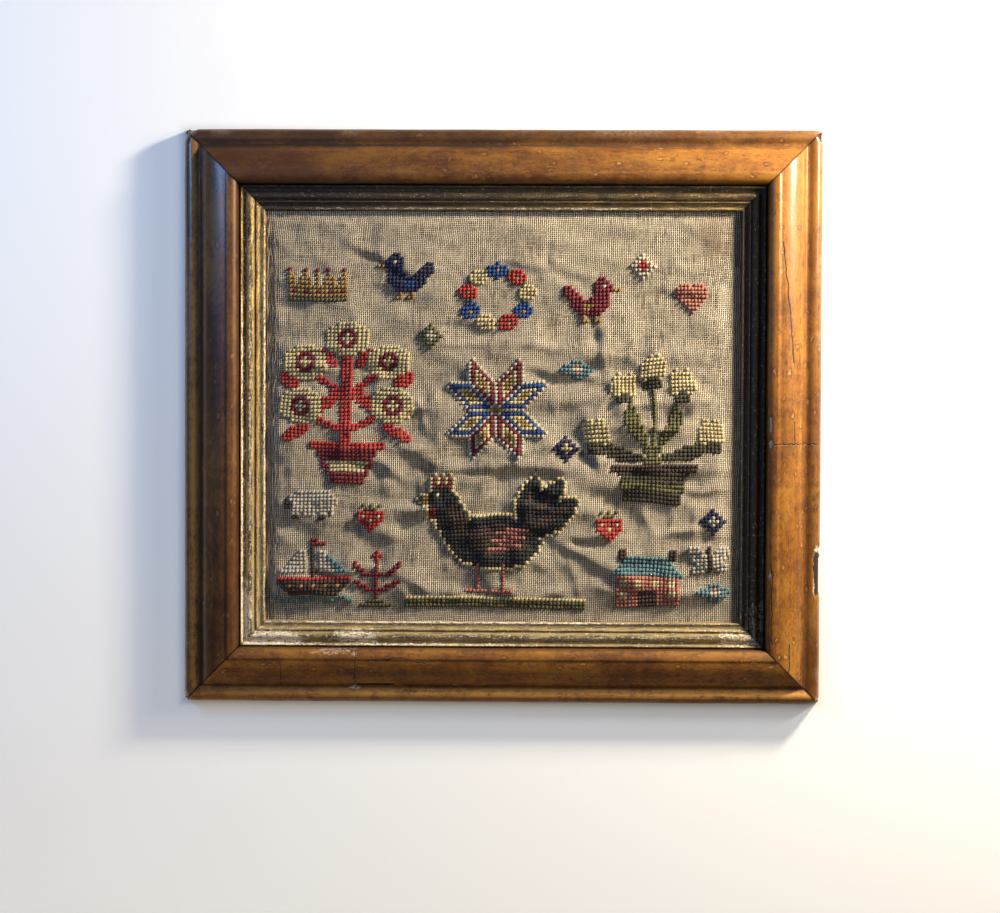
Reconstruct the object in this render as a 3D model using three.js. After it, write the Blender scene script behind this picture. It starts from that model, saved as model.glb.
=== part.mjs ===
// A framed cross stitch sampler, lying on its back: a puckered canvas worked in wool, held behind a gilt slip in a
// mitred maple moulding, with a plain board at its back.
// Millimetres. X runs to the picture's right, Y to its top and Z out of its face. The moulding's back lies on Z = 0.
import * as THREE from "three";

// The frame over all
const FRAME_WIDTH = 400;
const FRAME_HEIGHT = 360;

// The gap left between two pieces that touch
const SEAT_GAP = 0.3;
// How far each mitred end is drawn back along its rail, so that two mitred faces lie about SEAT_GAP apart
const MITRE_EASE = 0.22;

// The maple moulding, its section measured inwards from the outer edge (u) and up from the back (z)
const RAIL_FACE = 35;
const SIDE_HEIGHT = 9;
const BEAD = { reach: 5.5, rise: 5.2, turns: [180, 40], steps: 9 };
const VALLEY_FLOOR = { u: 10.5, z: 12.2 };
const CREST = { u: 29, z: 22 };
const CUSHION = { reach: 21.25, rise: 19.2, turns: [150, 90], steps: 10 };
const LIP = { reach: RAIL_FACE - CREST.u, rise: 4.5, turns: [75, 0], steps: 5 };
const REBATE = { width: 7, height: 11 };

// The gilt slip, its section measured inwards from the moulding's sight edge (v)
const SLIP_FACE = 16;
const SLIP_BACK = 7;
const SLIP_FLANGE = REBATE.width - SEAT_GAP;
// Each reed runs from the point where the one before it ends: its width, the height of its crest, and the height and
// width of the quirk that follows it
const SLIP_REEDS = [
  { width: 1.6, crest: 14.6, quirk: 13.0, quirkWidth: 2.6 },
  { width: 4.2, crest: 14.0, quirk: 11.6, quirkWidth: 1.6 },
  { width: 2.4, crest: 12.6, quirk: 10.3, quirkWidth: 1.9 },
  { width: 1.4, crest: 10.7, quirk: SLIP_BACK + 2.2, quirkWidth: 0 },
];
const REED_ARC = { turns: [165, 15], steps: 5 };

// The canvas: one sheet that reaches under the slip to the rebate's walls. It is flat until it is clear of the slip's
// edge, and rises in puckers further in
const CANVAS_THICKNESS = 1.2;
const CANVAS_SIDE_PLAY = 0.7;
const CANVAS_EDGE_CLEARANCE = 2;
const CANVAS_EASE = 9;
const CANVAS_SWELL = 1.4;
const CANVAS_CELLS = { across: 48, up: 42 };
// Gentle waves all over: the height of each, how many of it lie across and up the window, and its shift in radians
const RIPPLES = [
  { height: 0.28, across: 4.9, up: 0, shift: 0.6 },
  { height: 0.24, across: 0, up: 5.5, shift: 1.9 },
  { height: 0.2, across: 3.6, up: 3.6, shift: 4.1 },
];
// A pucker is a narrow trough with a ridge along one side of it
const PUCKER_WIDTH = 4.2;
const PUCKER_RIDGE = 1.9;
const PUCKER_TROUGH = 1.1;
const TROUGH_SHARE = 0.6;
// Each pucker's middle, its length, its turn from the horizontal in degrees, how far its middle bows to its ridge's
// side, and how strong it is. The ridge lies to the left of the way it is turned
const PUCKERS = [
  { x: -68, y: 95, length: 74, turn: -21, bow: -2, strength: 0.7 },
  { x: -122, y: 93, length: 28, turn: -16, bow: 0, strength: 0.4 },
  { x: 14, y: 93, length: 24, turn: -12, bow: 0, strength: 0.4 },
  { x: 46, y: 92, length: 36, turn: -16, bow: -3, strength: 0.6 },
  { x: 108, y: 71, length: 58, turn: -3, bow: 3, strength: 0.6 },
  { x: -71, y: 18, length: 34, turn: -5, bow: 0, strength: 0.7 },
  { x: 56, y: 50, length: 44, turn: -82, bow: 2, strength: 0.9 },
  { x: 36, y: 21, length: 76, turn: -9, bow: 3, strength: 0.8 },
  { x: 69, y: 4, length: 30, turn: -62, bow: 0, strength: 0.9 },
  { x: 54, y: -20, length: 30, turn: -84, bow: 0, strength: 0.9 },
  { x: -56, y: -20, length: 38, turn: -42, bow: -4, strength: 0.9 },
  { x: 8, y: -34, length: 104, turn: -1, bow: -2, strength: 0.9 },
  { x: -82, y: -36, length: 50, turn: -18, bow: 4, strength: 1.0 },
  { x: 99, y: -33, length: 34, turn: 8, bow: 0, strength: 0.6 },
  { x: 78, y: -58, length: 26, turn: -45, bow: 0, strength: 0.7 },
  { x: -68, y: -66, length: 74, turn: 9, bow: -2, strength: 1.0 },
  { x: -16, y: -73, length: 40, turn: 2, bow: 2, strength: 0.9 },
  { x: 27, y: -71, length: 38, turn: 0, bow: -2, strength: 1.0 },
  { x: -74, y: -82, length: 32, turn: -2, bow: 0, strength: 0.7 },
  { x: 58, y: -79, length: 28, turn: -6, bow: 0, strength: 0.9 },
  { x: 132, y: -80, length: 28, turn: 8, bow: 0, strength: 0.6 },
  { x: 92, y: -91, length: 30, turn: 0, bow: 0, strength: 0.6 },
  { x: 70, y: -98, length: 80, turn: -25, bow: -2, strength: 1.0 },
  { x: -34, y: -113, length: 78, turn: -22, bow: -6, strength: 0.9 },
  { x: -116, y: -113, length: 52, turn: 6, bow: 4, strength: 0.6 },
  { x: 18, y: -118, length: 48, turn: 2, bow: 0, strength: 0.8 },
  { x: 104, y: -117, length: 42, turn: -18, bow: 0, strength: 0.6 },
];

// The back board
const BOARD_THICKNESS = 4;

const REBATE_HALF = {
  x: FRAME_WIDTH / 2 - RAIL_FACE + REBATE.width,
  y: FRAME_HEIGHT / 2 - RAIL_FACE + REBATE.width,
};
const WINDOW_HALF = {
  x: FRAME_WIDTH / 2 - RAIL_FACE - SLIP_FACE,
  y: FRAME_HEIGHT / 2 - RAIL_FACE - SLIP_FACE,
};
const CANVAS_BOTTOM = SLIP_BACK - SEAT_GAP - CANVAS_THICKNESS;
const BOARD_TOP = CANVAS_BOTTOM - SEAT_GAP;

const MAPLE = new THREE.MeshStandardMaterial({ color: 0xa5642c, roughness: 0.32, metalness: 0 });
const GILT = new THREE.MeshStandardMaterial({ color: 0xb08a45, roughness: 0.4, metalness: 0.85 });
const CANVAS = new THREE.MeshStandardMaterial({ color: 0xb3a388, roughness: 0.95, metalness: 0 });
const PINE = new THREE.MeshStandardMaterial({ color: 0x8a6a45, roughness: 0.8, metalness: 0 });

// The points of an arc of an ellipse, from its first turn to its last in degrees, both ends included
function arc(centreU, centreZ, { reach, rise, turns: [first, last], steps }) {
  return Array.from({ length: steps + 1 }, (_, i) => {
    const turn = THREE.MathUtils.degToRad(THREE.MathUtils.lerp(first, last, i / steps));
    return new THREE.Vector2(centreU + reach * Math.cos(turn), centreZ + rise * Math.sin(turn));
  });
}

// The moulding's section: a plain side, an outer bead, a valley, the broad cushion, its rolled lip and the rebate
function railSection() {
  return [
    new THREE.Vector2(0, 0),
    ...arc(BEAD.reach, SIDE_HEIGHT, BEAD),
    new THREE.Vector2(VALLEY_FLOOR.u, VALLEY_FLOOR.z),
    ...arc(CREST.u, CREST.z - CUSHION.rise, CUSHION),
    ...arc(CREST.u, CREST.z - LIP.rise, LIP),
    new THREE.Vector2(RAIL_FACE, REBATE.height),
    new THREE.Vector2(RAIL_FACE - REBATE.width, REBATE.height),
    new THREE.Vector2(RAIL_FACE - REBATE.width, 0),
  ];
}

// The slip's section: a flange under the moulding's lip, then reeds that step down to the canvas
function slipSection() {
  const points = [
    new THREE.Vector2(-SLIP_FLANGE, SLIP_BACK),
    new THREE.Vector2(-SLIP_FLANGE, REBATE.height - SEAT_GAP),
    new THREE.Vector2(SEAT_GAP, REBATE.height - SEAT_GAP),
  ];
  let start = SEAT_GAP;
  let foot = SLIP_REEDS[0].quirk;
  for (const reed of SLIP_REEDS) {
    const base = Math.min(foot, reed.quirk);
    const reach = reed.width / 2;
    points.push(...arc(start + reach, base, { reach, rise: reed.crest - base, ...REED_ARC }));
    start += reed.width + reed.quirkWidth;
    foot = reed.quirk;
  }
  points.push(new THREE.Vector2(SLIP_FACE, SLIP_BACK));
  return points;
}

// A rail with both ends mitred. It is extruded along the picture's bottom edge and sheared at its ends: a point that
// lies further in has less rail on each side of it
function mitredRail(section, halfLength, halfSpan) {
  const geometry = new THREE.ExtrudeGeometry(new THREE.Shape([...section].reverse()), {
    depth: 1,
    bevelEnabled: false,
  });
  const position = geometry.getAttribute("position");
  for (let i = 0; i < position.count; i++) {
    const inwards = position.getX(i);
    const height = position.getY(i);
    const end = position.getZ(i) * 2 - 1;
    position.setXYZ(i, end * (halfLength - inwards - MITRE_EASE), inwards - halfSpan, height);
  }
  return geometry;
}

// The four rails of one moulding, each turned a quarter further round the picture
function mouldingFrame(name, section, halfX, halfY, material) {
  const frame = new THREE.Group();
  ["bottom", "right", "top", "left"].forEach((side, i) => {
    const alongX = i % 2 === 0;
    const geometry = mitredRail(section, alongX ? halfX : halfY, alongX ? halfY : halfX);
    const rail = new THREE.Mesh(geometry, material);
    rail.name = `${name}_${side}`;
    rail.rotation.z = (i * Math.PI) / 2;
    frame.add(rail);
  });
  return frame;
}

// A bell of the given width, one high in its middle
function bell(distance, width) {
  return Math.exp(-((distance / width) ** 2));
}

// How high one pucker lifts the canvas at a point. It fades out towards both its ends
function puckerLift({ x: middleX, y: middleY, length, turn, bow, strength }, x, y) {
  const angle = THREE.MathUtils.degToRad(turn);
  const along = (x - middleX) * Math.cos(angle) + (y - middleY) * Math.sin(angle);
  const share = (2 * along) / length;
  const across = (y - middleY) * Math.cos(angle) - (x - middleX) * Math.sin(angle);
  const off = across - bow * (1 - share * share);
  const ridge = PUCKER_RIDGE * bell(off - PUCKER_WIDTH, PUCKER_WIDTH);
  const trough = PUCKER_TROUGH * bell(off, TROUGH_SHARE * PUCKER_WIDTH);
  return strength * (ridge - trough) * bell(share * share, 1);
}

// The canvas's rise above the plane in which its edges are held
function canvasLift(x, y) {
  const inside = Math.min(WINDOW_HALF.x - Math.abs(x), WINDOW_HALF.y - Math.abs(y));
  const ease = THREE.MathUtils.smoothstep(inside, CANVAS_EDGE_CLEARANCE, CANVAS_EASE);
  let lift = CANVAS_SWELL;
  for (const pucker of PUCKERS) {
    lift += puckerLift(pucker, x, y);
  }
  for (const { height, across, up, shift } of RIPPLES) {
    const waves = (across * x) / (2 * WINDOW_HALF.x) + (up * y) / (2 * WINDOW_HALF.y);
    lift += height * Math.sin(2 * Math.PI * waves + shift);
  }
  return ease * Math.max(lift, 0);
}

// The lines of the canvas's grid along one axis: its rim, the slip's edge, and even ones across what can rise
function gridLines(windowHalf, canvasHalf, cells) {
  const half = windowHalf - CANVAS_EDGE_CLEARANCE;
  const inner = Array.from({ length: cells + 1 }, (_, i) => half * ((2 * i) / cells - 1));
  return [-canvasHalf, -windowHalf, ...inner, windowHalf, canvasHalf];
}

// The canvas: the same grid above and below, a sheet's thickness apart, closed round its rim
function canvasSheet() {
  const xs = gridLines(WINDOW_HALF.x, REBATE_HALF.x - CANVAS_SIDE_PLAY, CANVAS_CELLS.across);
  const ys = gridLines(WINDOW_HALF.y, REBATE_HALF.y - CANVAS_SIDE_PLAY, CANVAS_CELLS.up);
  const points = [];
  for (const thickness of [0, CANVAS_THICKNESS]) {
    for (const y of ys) {
      for (const x of xs) {
        points.push(x, y, CANVAS_BOTTOM + canvasLift(x, y) + thickness);
      }
    }
  }
  const columns = xs.length;
  const layer = columns * ys.length;
  const index = [];
  const quad = (a, b, c, d) => index.push(a, b, c, a, c, d);
  for (let row = 0; row < ys.length - 1; row++) {
    for (let column = 0; column < columns - 1; column++) {
      const corner = row * columns + column;
      const above = corner + columns;
      quad(corner + layer, corner + 1 + layer, above + 1 + layer, above + layer);
      quad(corner, above, above + 1, corner + 1);
    }
  }
  const wall = (from, to) => quad(from, to, to + layer, from + layer);
  for (let column = 0; column < columns - 1; column++) {
    const last = layer - columns + column;
    wall(column, column + 1);
    wall(last + 1, last);
  }
  for (let row = 0; row < ys.length - 1; row++) {
    const first = row * columns;
    wall(first + columns, first);
    wall(first + columns - 1, first + 2 * columns - 1);
  }
  const geometry = new THREE.BufferGeometry();
  geometry.setAttribute("position", new THREE.Float32BufferAttribute(points, 3));
  geometry.setIndex(index);
  geometry.computeVertexNormals();
  return geometry;
}

function canvas() {
  const sheet = new THREE.Mesh(canvasSheet(), CANVAS);
  sheet.name = "canvas";
  return sheet;
}

function backBoard() {
  const width = 2 * (REBATE_HALF.x - SEAT_GAP);
  const height = 2 * (REBATE_HALF.y - SEAT_GAP);
  const board = new THREE.Mesh(new THREE.BoxGeometry(width, height, BOARD_THICKNESS), PINE);
  board.name = "back_board";
  board.position.z = BOARD_TOP - BOARD_THICKNESS / 2;
  return board;
}

const sampler = new THREE.Group();
sampler.add(mouldingFrame("rail", railSection(), FRAME_WIDTH / 2, FRAME_HEIGHT / 2, MAPLE));
sampler.add(
  mouldingFrame(
    "slip",
    slipSection(),
    FRAME_WIDTH / 2 - RAIL_FACE,
    FRAME_HEIGHT / 2 - RAIL_FACE,
    GILT,
  ),
);
sampler.add(canvas());
sampler.add(backBoard());

export default sampler;
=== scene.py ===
"""A framed cross stitch sampler: wool on a puckered canvas, behind a worn gilt slip in a maple moulding.

It lies on its back on a pale floor. X runs to the picture's right, Y to its top and Z out of its face. Sizes
are in millimetres where a name or a docstring says so, and Blender's own units are metres.
"""
from __future__ import annotations

import json
import logging
import math
from dataclasses import dataclass, field
from enum import Enum
from typing import Any

import bpy
import numpy as np
from mathutils import Matrix, Vector


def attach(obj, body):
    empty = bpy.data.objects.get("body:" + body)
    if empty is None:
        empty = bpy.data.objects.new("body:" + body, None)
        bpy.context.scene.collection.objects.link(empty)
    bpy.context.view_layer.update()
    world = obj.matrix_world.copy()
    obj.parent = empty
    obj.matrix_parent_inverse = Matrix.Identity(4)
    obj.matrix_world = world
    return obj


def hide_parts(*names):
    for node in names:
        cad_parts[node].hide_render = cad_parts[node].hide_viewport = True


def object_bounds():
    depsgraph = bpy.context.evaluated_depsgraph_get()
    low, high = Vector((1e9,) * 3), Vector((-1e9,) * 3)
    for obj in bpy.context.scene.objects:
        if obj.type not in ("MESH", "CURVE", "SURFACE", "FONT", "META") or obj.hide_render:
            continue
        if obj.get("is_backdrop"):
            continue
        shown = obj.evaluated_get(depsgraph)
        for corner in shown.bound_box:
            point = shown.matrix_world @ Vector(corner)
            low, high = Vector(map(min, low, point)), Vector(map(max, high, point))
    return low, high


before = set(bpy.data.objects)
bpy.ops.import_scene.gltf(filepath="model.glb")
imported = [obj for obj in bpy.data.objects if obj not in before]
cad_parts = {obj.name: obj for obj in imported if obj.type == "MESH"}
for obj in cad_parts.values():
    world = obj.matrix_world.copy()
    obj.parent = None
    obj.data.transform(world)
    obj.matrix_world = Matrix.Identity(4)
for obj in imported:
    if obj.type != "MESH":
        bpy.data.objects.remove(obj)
CAD_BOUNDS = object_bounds()

LOG = logging.getLogger("sampler")
MM = 0.001
BODY = "root"
TURN = 2 * math.pi
LATTICE = 128
RING = 6
MIX_FIRST = 6
MIX_SECOND = 7
MIX_RESULT = 2
Colour = tuple[float, float, float, float]
Wear = tuple[np.ndarray, dict[str, np.ndarray]]


class Side(Enum):
    """The four sides of a moulding, by how many quarter turns each lies from the bottom one."""

    BOTTOM = 0
    RIGHT = 1
    TOP = 2
    LEFT = 3


def smoothstep(value: np.ndarray, low: float, high: float) -> np.ndarray:
    """Rise from 0 at low to 1 at high as 3s^2 - 2s^3.

    Args:
        value: Where to read the curve.
        low: The value up to which it is 0.
        high: The value from which it is 1.

    Returns:
        The curve's height at each value.
    """
    share = np.clip((value - low) / (high - low), 0, 1)
    return share * share * (3 - 2 * share)


def bell(distance: np.ndarray, width: float) -> np.ndarray:
    """A bell one high in its middle: exp of minus the square of distance over width."""
    return np.exp(-((distance / width) ** 2))


def read_table(table: np.ndarray, column: np.ndarray, row: np.ndarray) -> np.ndarray:
    """Read a table between its entries: the nearest four, blended with 3s^2 - 2s^3 both ways. Its ends meet.

    Args:
        table: The entries, row by row.
        column: Where to read, in columns.
        row: Where to read, in rows.

    Returns:
        The blended entry at each place.
    """
    left = np.floor(column).astype(int)
    low = np.floor(row).astype(int)
    right_share = smoothstep(column - left, 0, 1)
    top_share = smoothstep(row - low, 0, 1)
    rows, columns = table.shape

    def line(at: np.ndarray) -> np.ndarray:
        """Blend along one row of the table."""
        near = table[at % rows, left % columns]
        far = table[at % rows, (left + 1) % columns]
        return near * (1 - right_share) + far * right_share

    return line(low) * (1 - top_share) + line(low + 1) * top_share


def lattice_noise(across: np.ndarray, up: np.ndarray, seed: int) -> np.ndarray:
    """Smooth noise between -1 and 1: seeded values on a unit lattice, blended where they are read."""
    return read_table(np.random.default_rng(seed).uniform(-1, 1, (LATTICE, LATTICE)), across, up)


def arc(
    centre: tuple[float, float], reach: float, rise: float, turns: tuple[float, float], steps: int
) -> np.ndarray:
    """Points of an ellipse's arc: centre + (reach cos a, rise sin a) for turns a in degrees.

    Args:
        centre: The ellipse's centre.
        reach: Its half width.
        rise: Its half height.
        turns: The first and the last turn.
        steps: How many steps lie between them.

    Returns:
        An array of (u, z) points.
    """
    angle = np.radians(np.linspace(*turns, steps + 1))
    return np.stack([centre[0] + reach * np.cos(angle), centre[1] + rise * np.sin(angle)], axis=1)


def resample(points: np.ndarray, count: int) -> np.ndarray:
    """Place count points at even spacing along a polyline, by linear interpolation on its length."""
    reach = np.concatenate([[0], np.cumsum(np.hypot(*np.diff(points, axis=0).T))])
    even = np.linspace(0, reach[-1], count)
    return np.stack([np.interp(even, reach, points[:, axis]) for axis in range(2)], axis=1)


def soften(points: np.ndarray, passes: int) -> np.ndarray:
    """Round a polyline's corners: each pass moves an inner point to its 1, 2, 1 mean with its neighbours."""
    for _ in range(passes):
        inner = (points[:-2] + 2 * points[1:-1] + points[2:]) / 4
        points = np.concatenate([points[:1], inner, points[-1:]])
    return points


def grid_quads(rows: int, columns: int, first: int = 0, flip: bool = False) -> np.ndarray:
    """Quads of a grid of points that are stored row by row.

    Args:
        rows: How many rows of points.
        columns: How many points a row.
        first: The index of the grid's first point.
        flip: Whether the quads face the other way.

    Returns:
        An array of four indices a quad.
    """
    corner = (np.arange(rows - 1)[:, None] * columns + np.arange(columns - 1)[None, :]).ravel() + first
    quads = np.stack([corner, corner + 1, corner + columns + 1, corner + columns], axis=1)
    return quads[:, ::-1] if flip else quads


def tube_quads(rings: int) -> np.ndarray:
    """Quads of a closed tube of six-sided rings, turned right about its run. Two more close each end.

    Args:
        rings: How many rings of six points.

    Returns:
        An array of four indices a quad, facing outwards.
    """
    ring = np.arange(RING)
    start = (np.arange(rings - 1) * RING)[:, None]
    near, far = start + ring, start + (ring + 1) % RING
    skin = np.stack([far, far + RING, near + RING, near], axis=-1).reshape(-1, 4)
    cap = np.array([[0, 1, 2, 3], [0, 3, 4, 5]])
    return np.concatenate([skin, cap[:, ::-1], cap + (rings - 1) * RING])


@dataclass
class Piece:
    """A mesh that is being put together.

    Attributes:
        name: The piece's name.
        points: Its points in millimetres, one a row.
        quads: Its faces, four indices a row.
        uv: A pair of coordinates a point, for its material.
        marks: Named values, one a point, for its material.
        rim: True at each point of a rim. An edge between two of them shows as sharp.
    """

    name: str
    points: np.ndarray
    quads: np.ndarray
    uv: np.ndarray | None = None
    marks: dict[str, np.ndarray] = field(default_factory=dict)
    rim: np.ndarray | None = None

    def make(self, material: bpy.types.Material, slot: str, replaced: str | None = None) -> bpy.types.Object:
        """Turn the arrays into a smooth-shaded object that rides on the frame's one body.

        Args:
            material: The finish it wears.
            slot: The record's material slot. It is not used.
            replaced: The CAD node that it stands for, if any.

        Returns:
            The new object.
        """
        mesh = bpy.data.meshes.new(self.name)
        mesh.vertices.add(len(self.points))
        mesh.vertices.foreach_set("co", (self.points * MM).astype(np.float32).ravel())
        mesh.loops.add(self.quads.size)
        mesh.loops.foreach_set("vertex_index", self.quads.astype(np.int32).ravel())
        mesh.polygons.add(len(self.quads))
        mesh.polygons.foreach_set("loop_start", np.arange(0, self.quads.size, 4, dtype=np.int32))
        mesh.update(calc_edges=True)
        if self.uv is not None:
            layer = mesh.uv_layers.new(name="plan")
            layer.data.foreach_set("uv", self.uv[self.quads.ravel()].astype(np.float32).ravel())
        for label, values in self.marks.items():
            mark = mesh.attributes.new(label, "FLOAT", "POINT")
            mark.data.foreach_set("value", values.astype(np.float32))
        mesh.shade_smooth()
        mesh.validate()
        if self.rim is not None:
            ends = np.empty(2 * len(mesh.edges), dtype=np.int32)
            mesh.edges.foreach_get("vertices", ends)
            sharp = mesh.attributes.new("sharp_edge", "BOOLEAN", "EDGE")
            sharp.data.foreach_set("value", self.rim[ends.reshape(-1, 2)].all(axis=1))
        mesh.materials.append(material)
        piece = bpy.data.objects.new(self.name, mesh)
        bpy.context.scene.collection.objects.link(piece)
        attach(piece, BODY)
        if replaced:
            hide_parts(replaced)
        LOG.info("%s: %d quads", self.name, len(self.quads))
        return piece


class Sock:
    """A shader socket that takes part in sums: each operator adds one Math node."""

    def __init__(self, dressing: Dressing, socket: bpy.types.NodeSocket) -> None:
        """Keep the material and the socket."""
        self.dressing = dressing
        self.socket = socket

    def maths(self, operation: str, *values: Any) -> Sock:
        """Add a Math node for an operation on the given values."""
        return self.dressing.node("ShaderNodeMath", {"operation": operation}, dict(enumerate(values)))

    def __add__(self, other: Any) -> Sock:
        """Add."""
        return self.maths("ADD", self, other)

    __radd__ = __add__

    def __sub__(self, other: Any) -> Sock:
        """Take away."""
        return self.maths("SUBTRACT", self, other)

    def __rsub__(self, other: Any) -> Sock:
        """Be taken away from a number."""
        return self.maths("SUBTRACT", other, self)

    def __mul__(self, other: Any) -> Sock:
        """Multiply."""
        return self.maths("MULTIPLY", self, other)

    def __truediv__(self, other: Any) -> Sock:
        """Divide."""
        return self.maths("DIVIDE", self, other)

    def __pow__(self, other: Any) -> Sock:
        """Raise to a power."""
        return self.maths("POWER", self, other)

    def __abs__(self) -> Sock:
        """Drop the sign."""
        return self.maths("ABSOLUTE", self)

    def floor(self) -> Sock:
        """Round down."""
        return self.maths("FLOOR", self)

    def fract(self) -> Sock:
        """Keep what lies after the point."""
        return self.maths("FRACT", self)

    def cosine(self) -> Sock:
        """Take the cosine of an angle in radians."""
        return self.maths("COSINE", self)

    def above(self, edge: Any) -> Sock:
        """Give 1 where it is more than an edge, and 0 elsewhere."""
        return self.maths("GREATER_THAN", self, edge)

    def highest(self, other: Any) -> Sock:
        """Keep the higher of two values."""
        return self.maths("MAXIMUM", self, other)

    def lowest(self, other: Any) -> Sock:
        """Keep the lower of two values."""
        return self.maths("MINIMUM", self, other)

    def step(self, low: float, high: float) -> Sock:
        """Rise smoothly from 0 at low to 1 at high, or fall where low is the higher."""
        rising = low < high
        ends = (0.0, 1.0) if rising else (1.0, 0.0)
        inputs = {"Value": self, "From Min": min(low, high), "From Max": max(low, high)}
        inputs |= {"To Min": ends[0], "To Max": ends[1]}
        return self.dressing.node("ShaderNodeMapRange", {"interpolation_type": "SMOOTHSTEP"}, inputs)


class Dressing:
    """A material that is being made. Every node but a Math node of a sum comes from its node method."""

    def __init__(self, name: str) -> None:
        """Start a material with only its shader and its output."""
        self.material = bpy.data.materials.new(name)
        self.material.use_nodes = True
        self.tree = self.material.node_tree
        self.tree.nodes.clear()
        self.shader = self.tree.nodes.new("ShaderNodeBsdfPrincipled")
        output = self.tree.nodes.new("ShaderNodeOutputMaterial")
        self.tree.links.new(self.shader.outputs[0], output.inputs[0])

    def feed(self, socket: bpy.types.NodeSocket, value: Any) -> None:
        """Link a socket to a value's node, or set it where the value is plain."""
        if isinstance(value, Sock):
            self.tree.links.new(value.socket, socket)
        else:
            socket.default_value = value

    def node(
        self,
        kind: str,
        settings: dict[str, Any] | None = None,
        inputs: dict[Any, Any] | None = None,
        output: Any = 0,
    ) -> Sock:
        """Add a node.

        Args:
            kind: The node's type.
            settings: Its own settings, set before its sockets are fed.
            inputs: What each of its sockets holds, by name or place.
            output: Which output to give back, by name or place.

        Returns:
            The output, ready for sums.
        """
        node = self.tree.nodes.new(kind)
        for label, value in (settings or {}).items():
            setattr(node, label, value)
        for label, value in (inputs or {}).items():
            self.feed(node.inputs[label], value)
        return Sock(self, node.outputs[output])

    def place(self) -> Sock:
        """Read the point's place in the object's own coordinates."""
        return self.node("ShaderNodeTexCoord", output="Object")

    def plan(self) -> tuple[Sock, Sock]:
        """Read the piece's own UV map as two values."""
        return self.split(self.node("ShaderNodeUVMap", {"uv_map": "plan"}))

    def split(self, vector: Sock) -> tuple[Sock, Sock]:
        """Read a vector's first two parts."""
        first = self.node("ShaderNodeSeparateXYZ", inputs={0: vector})
        return first, Sock(self, first.socket.node.outputs[1])

    def mark(self, label: str) -> Sock:
        """Read one of the piece's named values."""
        return self.node("ShaderNodeAttribute", {"attribute_name": label}, output="Fac")

    def join(self, x: Any, y: Any, z: Any = 0.0) -> Sock:
        """Join three values into a vector."""
        return self.node("ShaderNodeCombineXYZ", inputs={0: x, 1: y, 2: z})

    def noise(
        self, vector: Sock, scale: float, detail: float = 2.0, rough: float = 0.5, bend: float = 0.0
    ) -> Sock:
        """Read smooth noise between 0 and 1 at a vector."""
        inputs = {"Vector": vector, "Scale": scale, "Detail": detail, "Roughness": rough, "Distortion": bend}
        return self.node("ShaderNodeTexNoise", inputs=inputs)

    def blend(self, share: Any, first: Any, second: Any) -> Sock:
        """Mix two colours, the second by its share."""
        settings = {"data_type": "RGBA", "blend_type": "MIX", "clamp_factor": True}
        inputs = {0: share, MIX_FIRST: first, MIX_SECOND: second}
        return self.node("ShaderNodeMix", settings, inputs, MIX_RESULT)

    def bump(self, height: Sock, distance: float, strength: float = 1.0) -> Sock:
        """Turn a height into a normal, distance metres high where the height is 1."""
        inputs = {"Height": height, "Distance": distance, "Strength": strength}
        return self.node("ShaderNodeBump", inputs=inputs)

    def finish(self, **sockets: Any) -> bpy.types.Material:
        """Feed the shader's sockets, an underscore standing for each space, and give the material back."""
        for label, value in sockets.items():
            self.feed(self.shader.inputs[label.replace("_", " ")], value)
        return self.material


@dataclass(frozen=True)
class Crack:
    """A dark line or hole in a moulding, in millimetres along it and across it.

    Attributes:
        start: Where it starts.
        end: Where it ends.
        width: How wide it is.
    """

    start: tuple[float, float]
    end: tuple[float, float]
    width: float = 0.5

    def mask(self, along: Sock, around: Sock) -> Sock:
        """Mark the points that lie nearer the line than its width.

        The line is start + s (end - start), and s is held between 0 and 1.

        Args:
            along: Millimetres along the moulding.
            around: Millimetres round its section.

        Returns:
            1 on the line and 0 elsewhere.
        """
        run = self.end[0] - self.start[0], self.end[1] - self.start[1]
        off_along = along - self.start[0]
        off_around = around - self.start[1]
        reach = off_along * run[0] + off_around * run[1]
        share = (reach / (run[0] ** 2 + run[1] ** 2)).highest(0).lowest(1)
        side = (off_along - share * run[0]) ** 2 + (off_around - share * run[1]) ** 2
        return (side ** 0.5).step(self.width, self.width * 0.3)


@dataclass(frozen=True)
class VarnishAndShade:
    """How one rail's varnish has aged, with the painted shade and painted light on its colour.

    Attributes:
        start: How dark it is at the rail's first end, where 0 is light and 1 is dark. It may run past both.
            This darkening is partly aged varnish and partly painted shade, and below 0 it is painted light.
        end: How dark it is at the other end.
        bead: How grimy its bead is, up to 1. Down to -1 it is painted light: the bead is made lighter, as
            if lit, with painted shade on its outer flank.
        gloss: How much polish is left on it.
    """

    start: float
    end: float
    bead: float
    gloss: float


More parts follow.
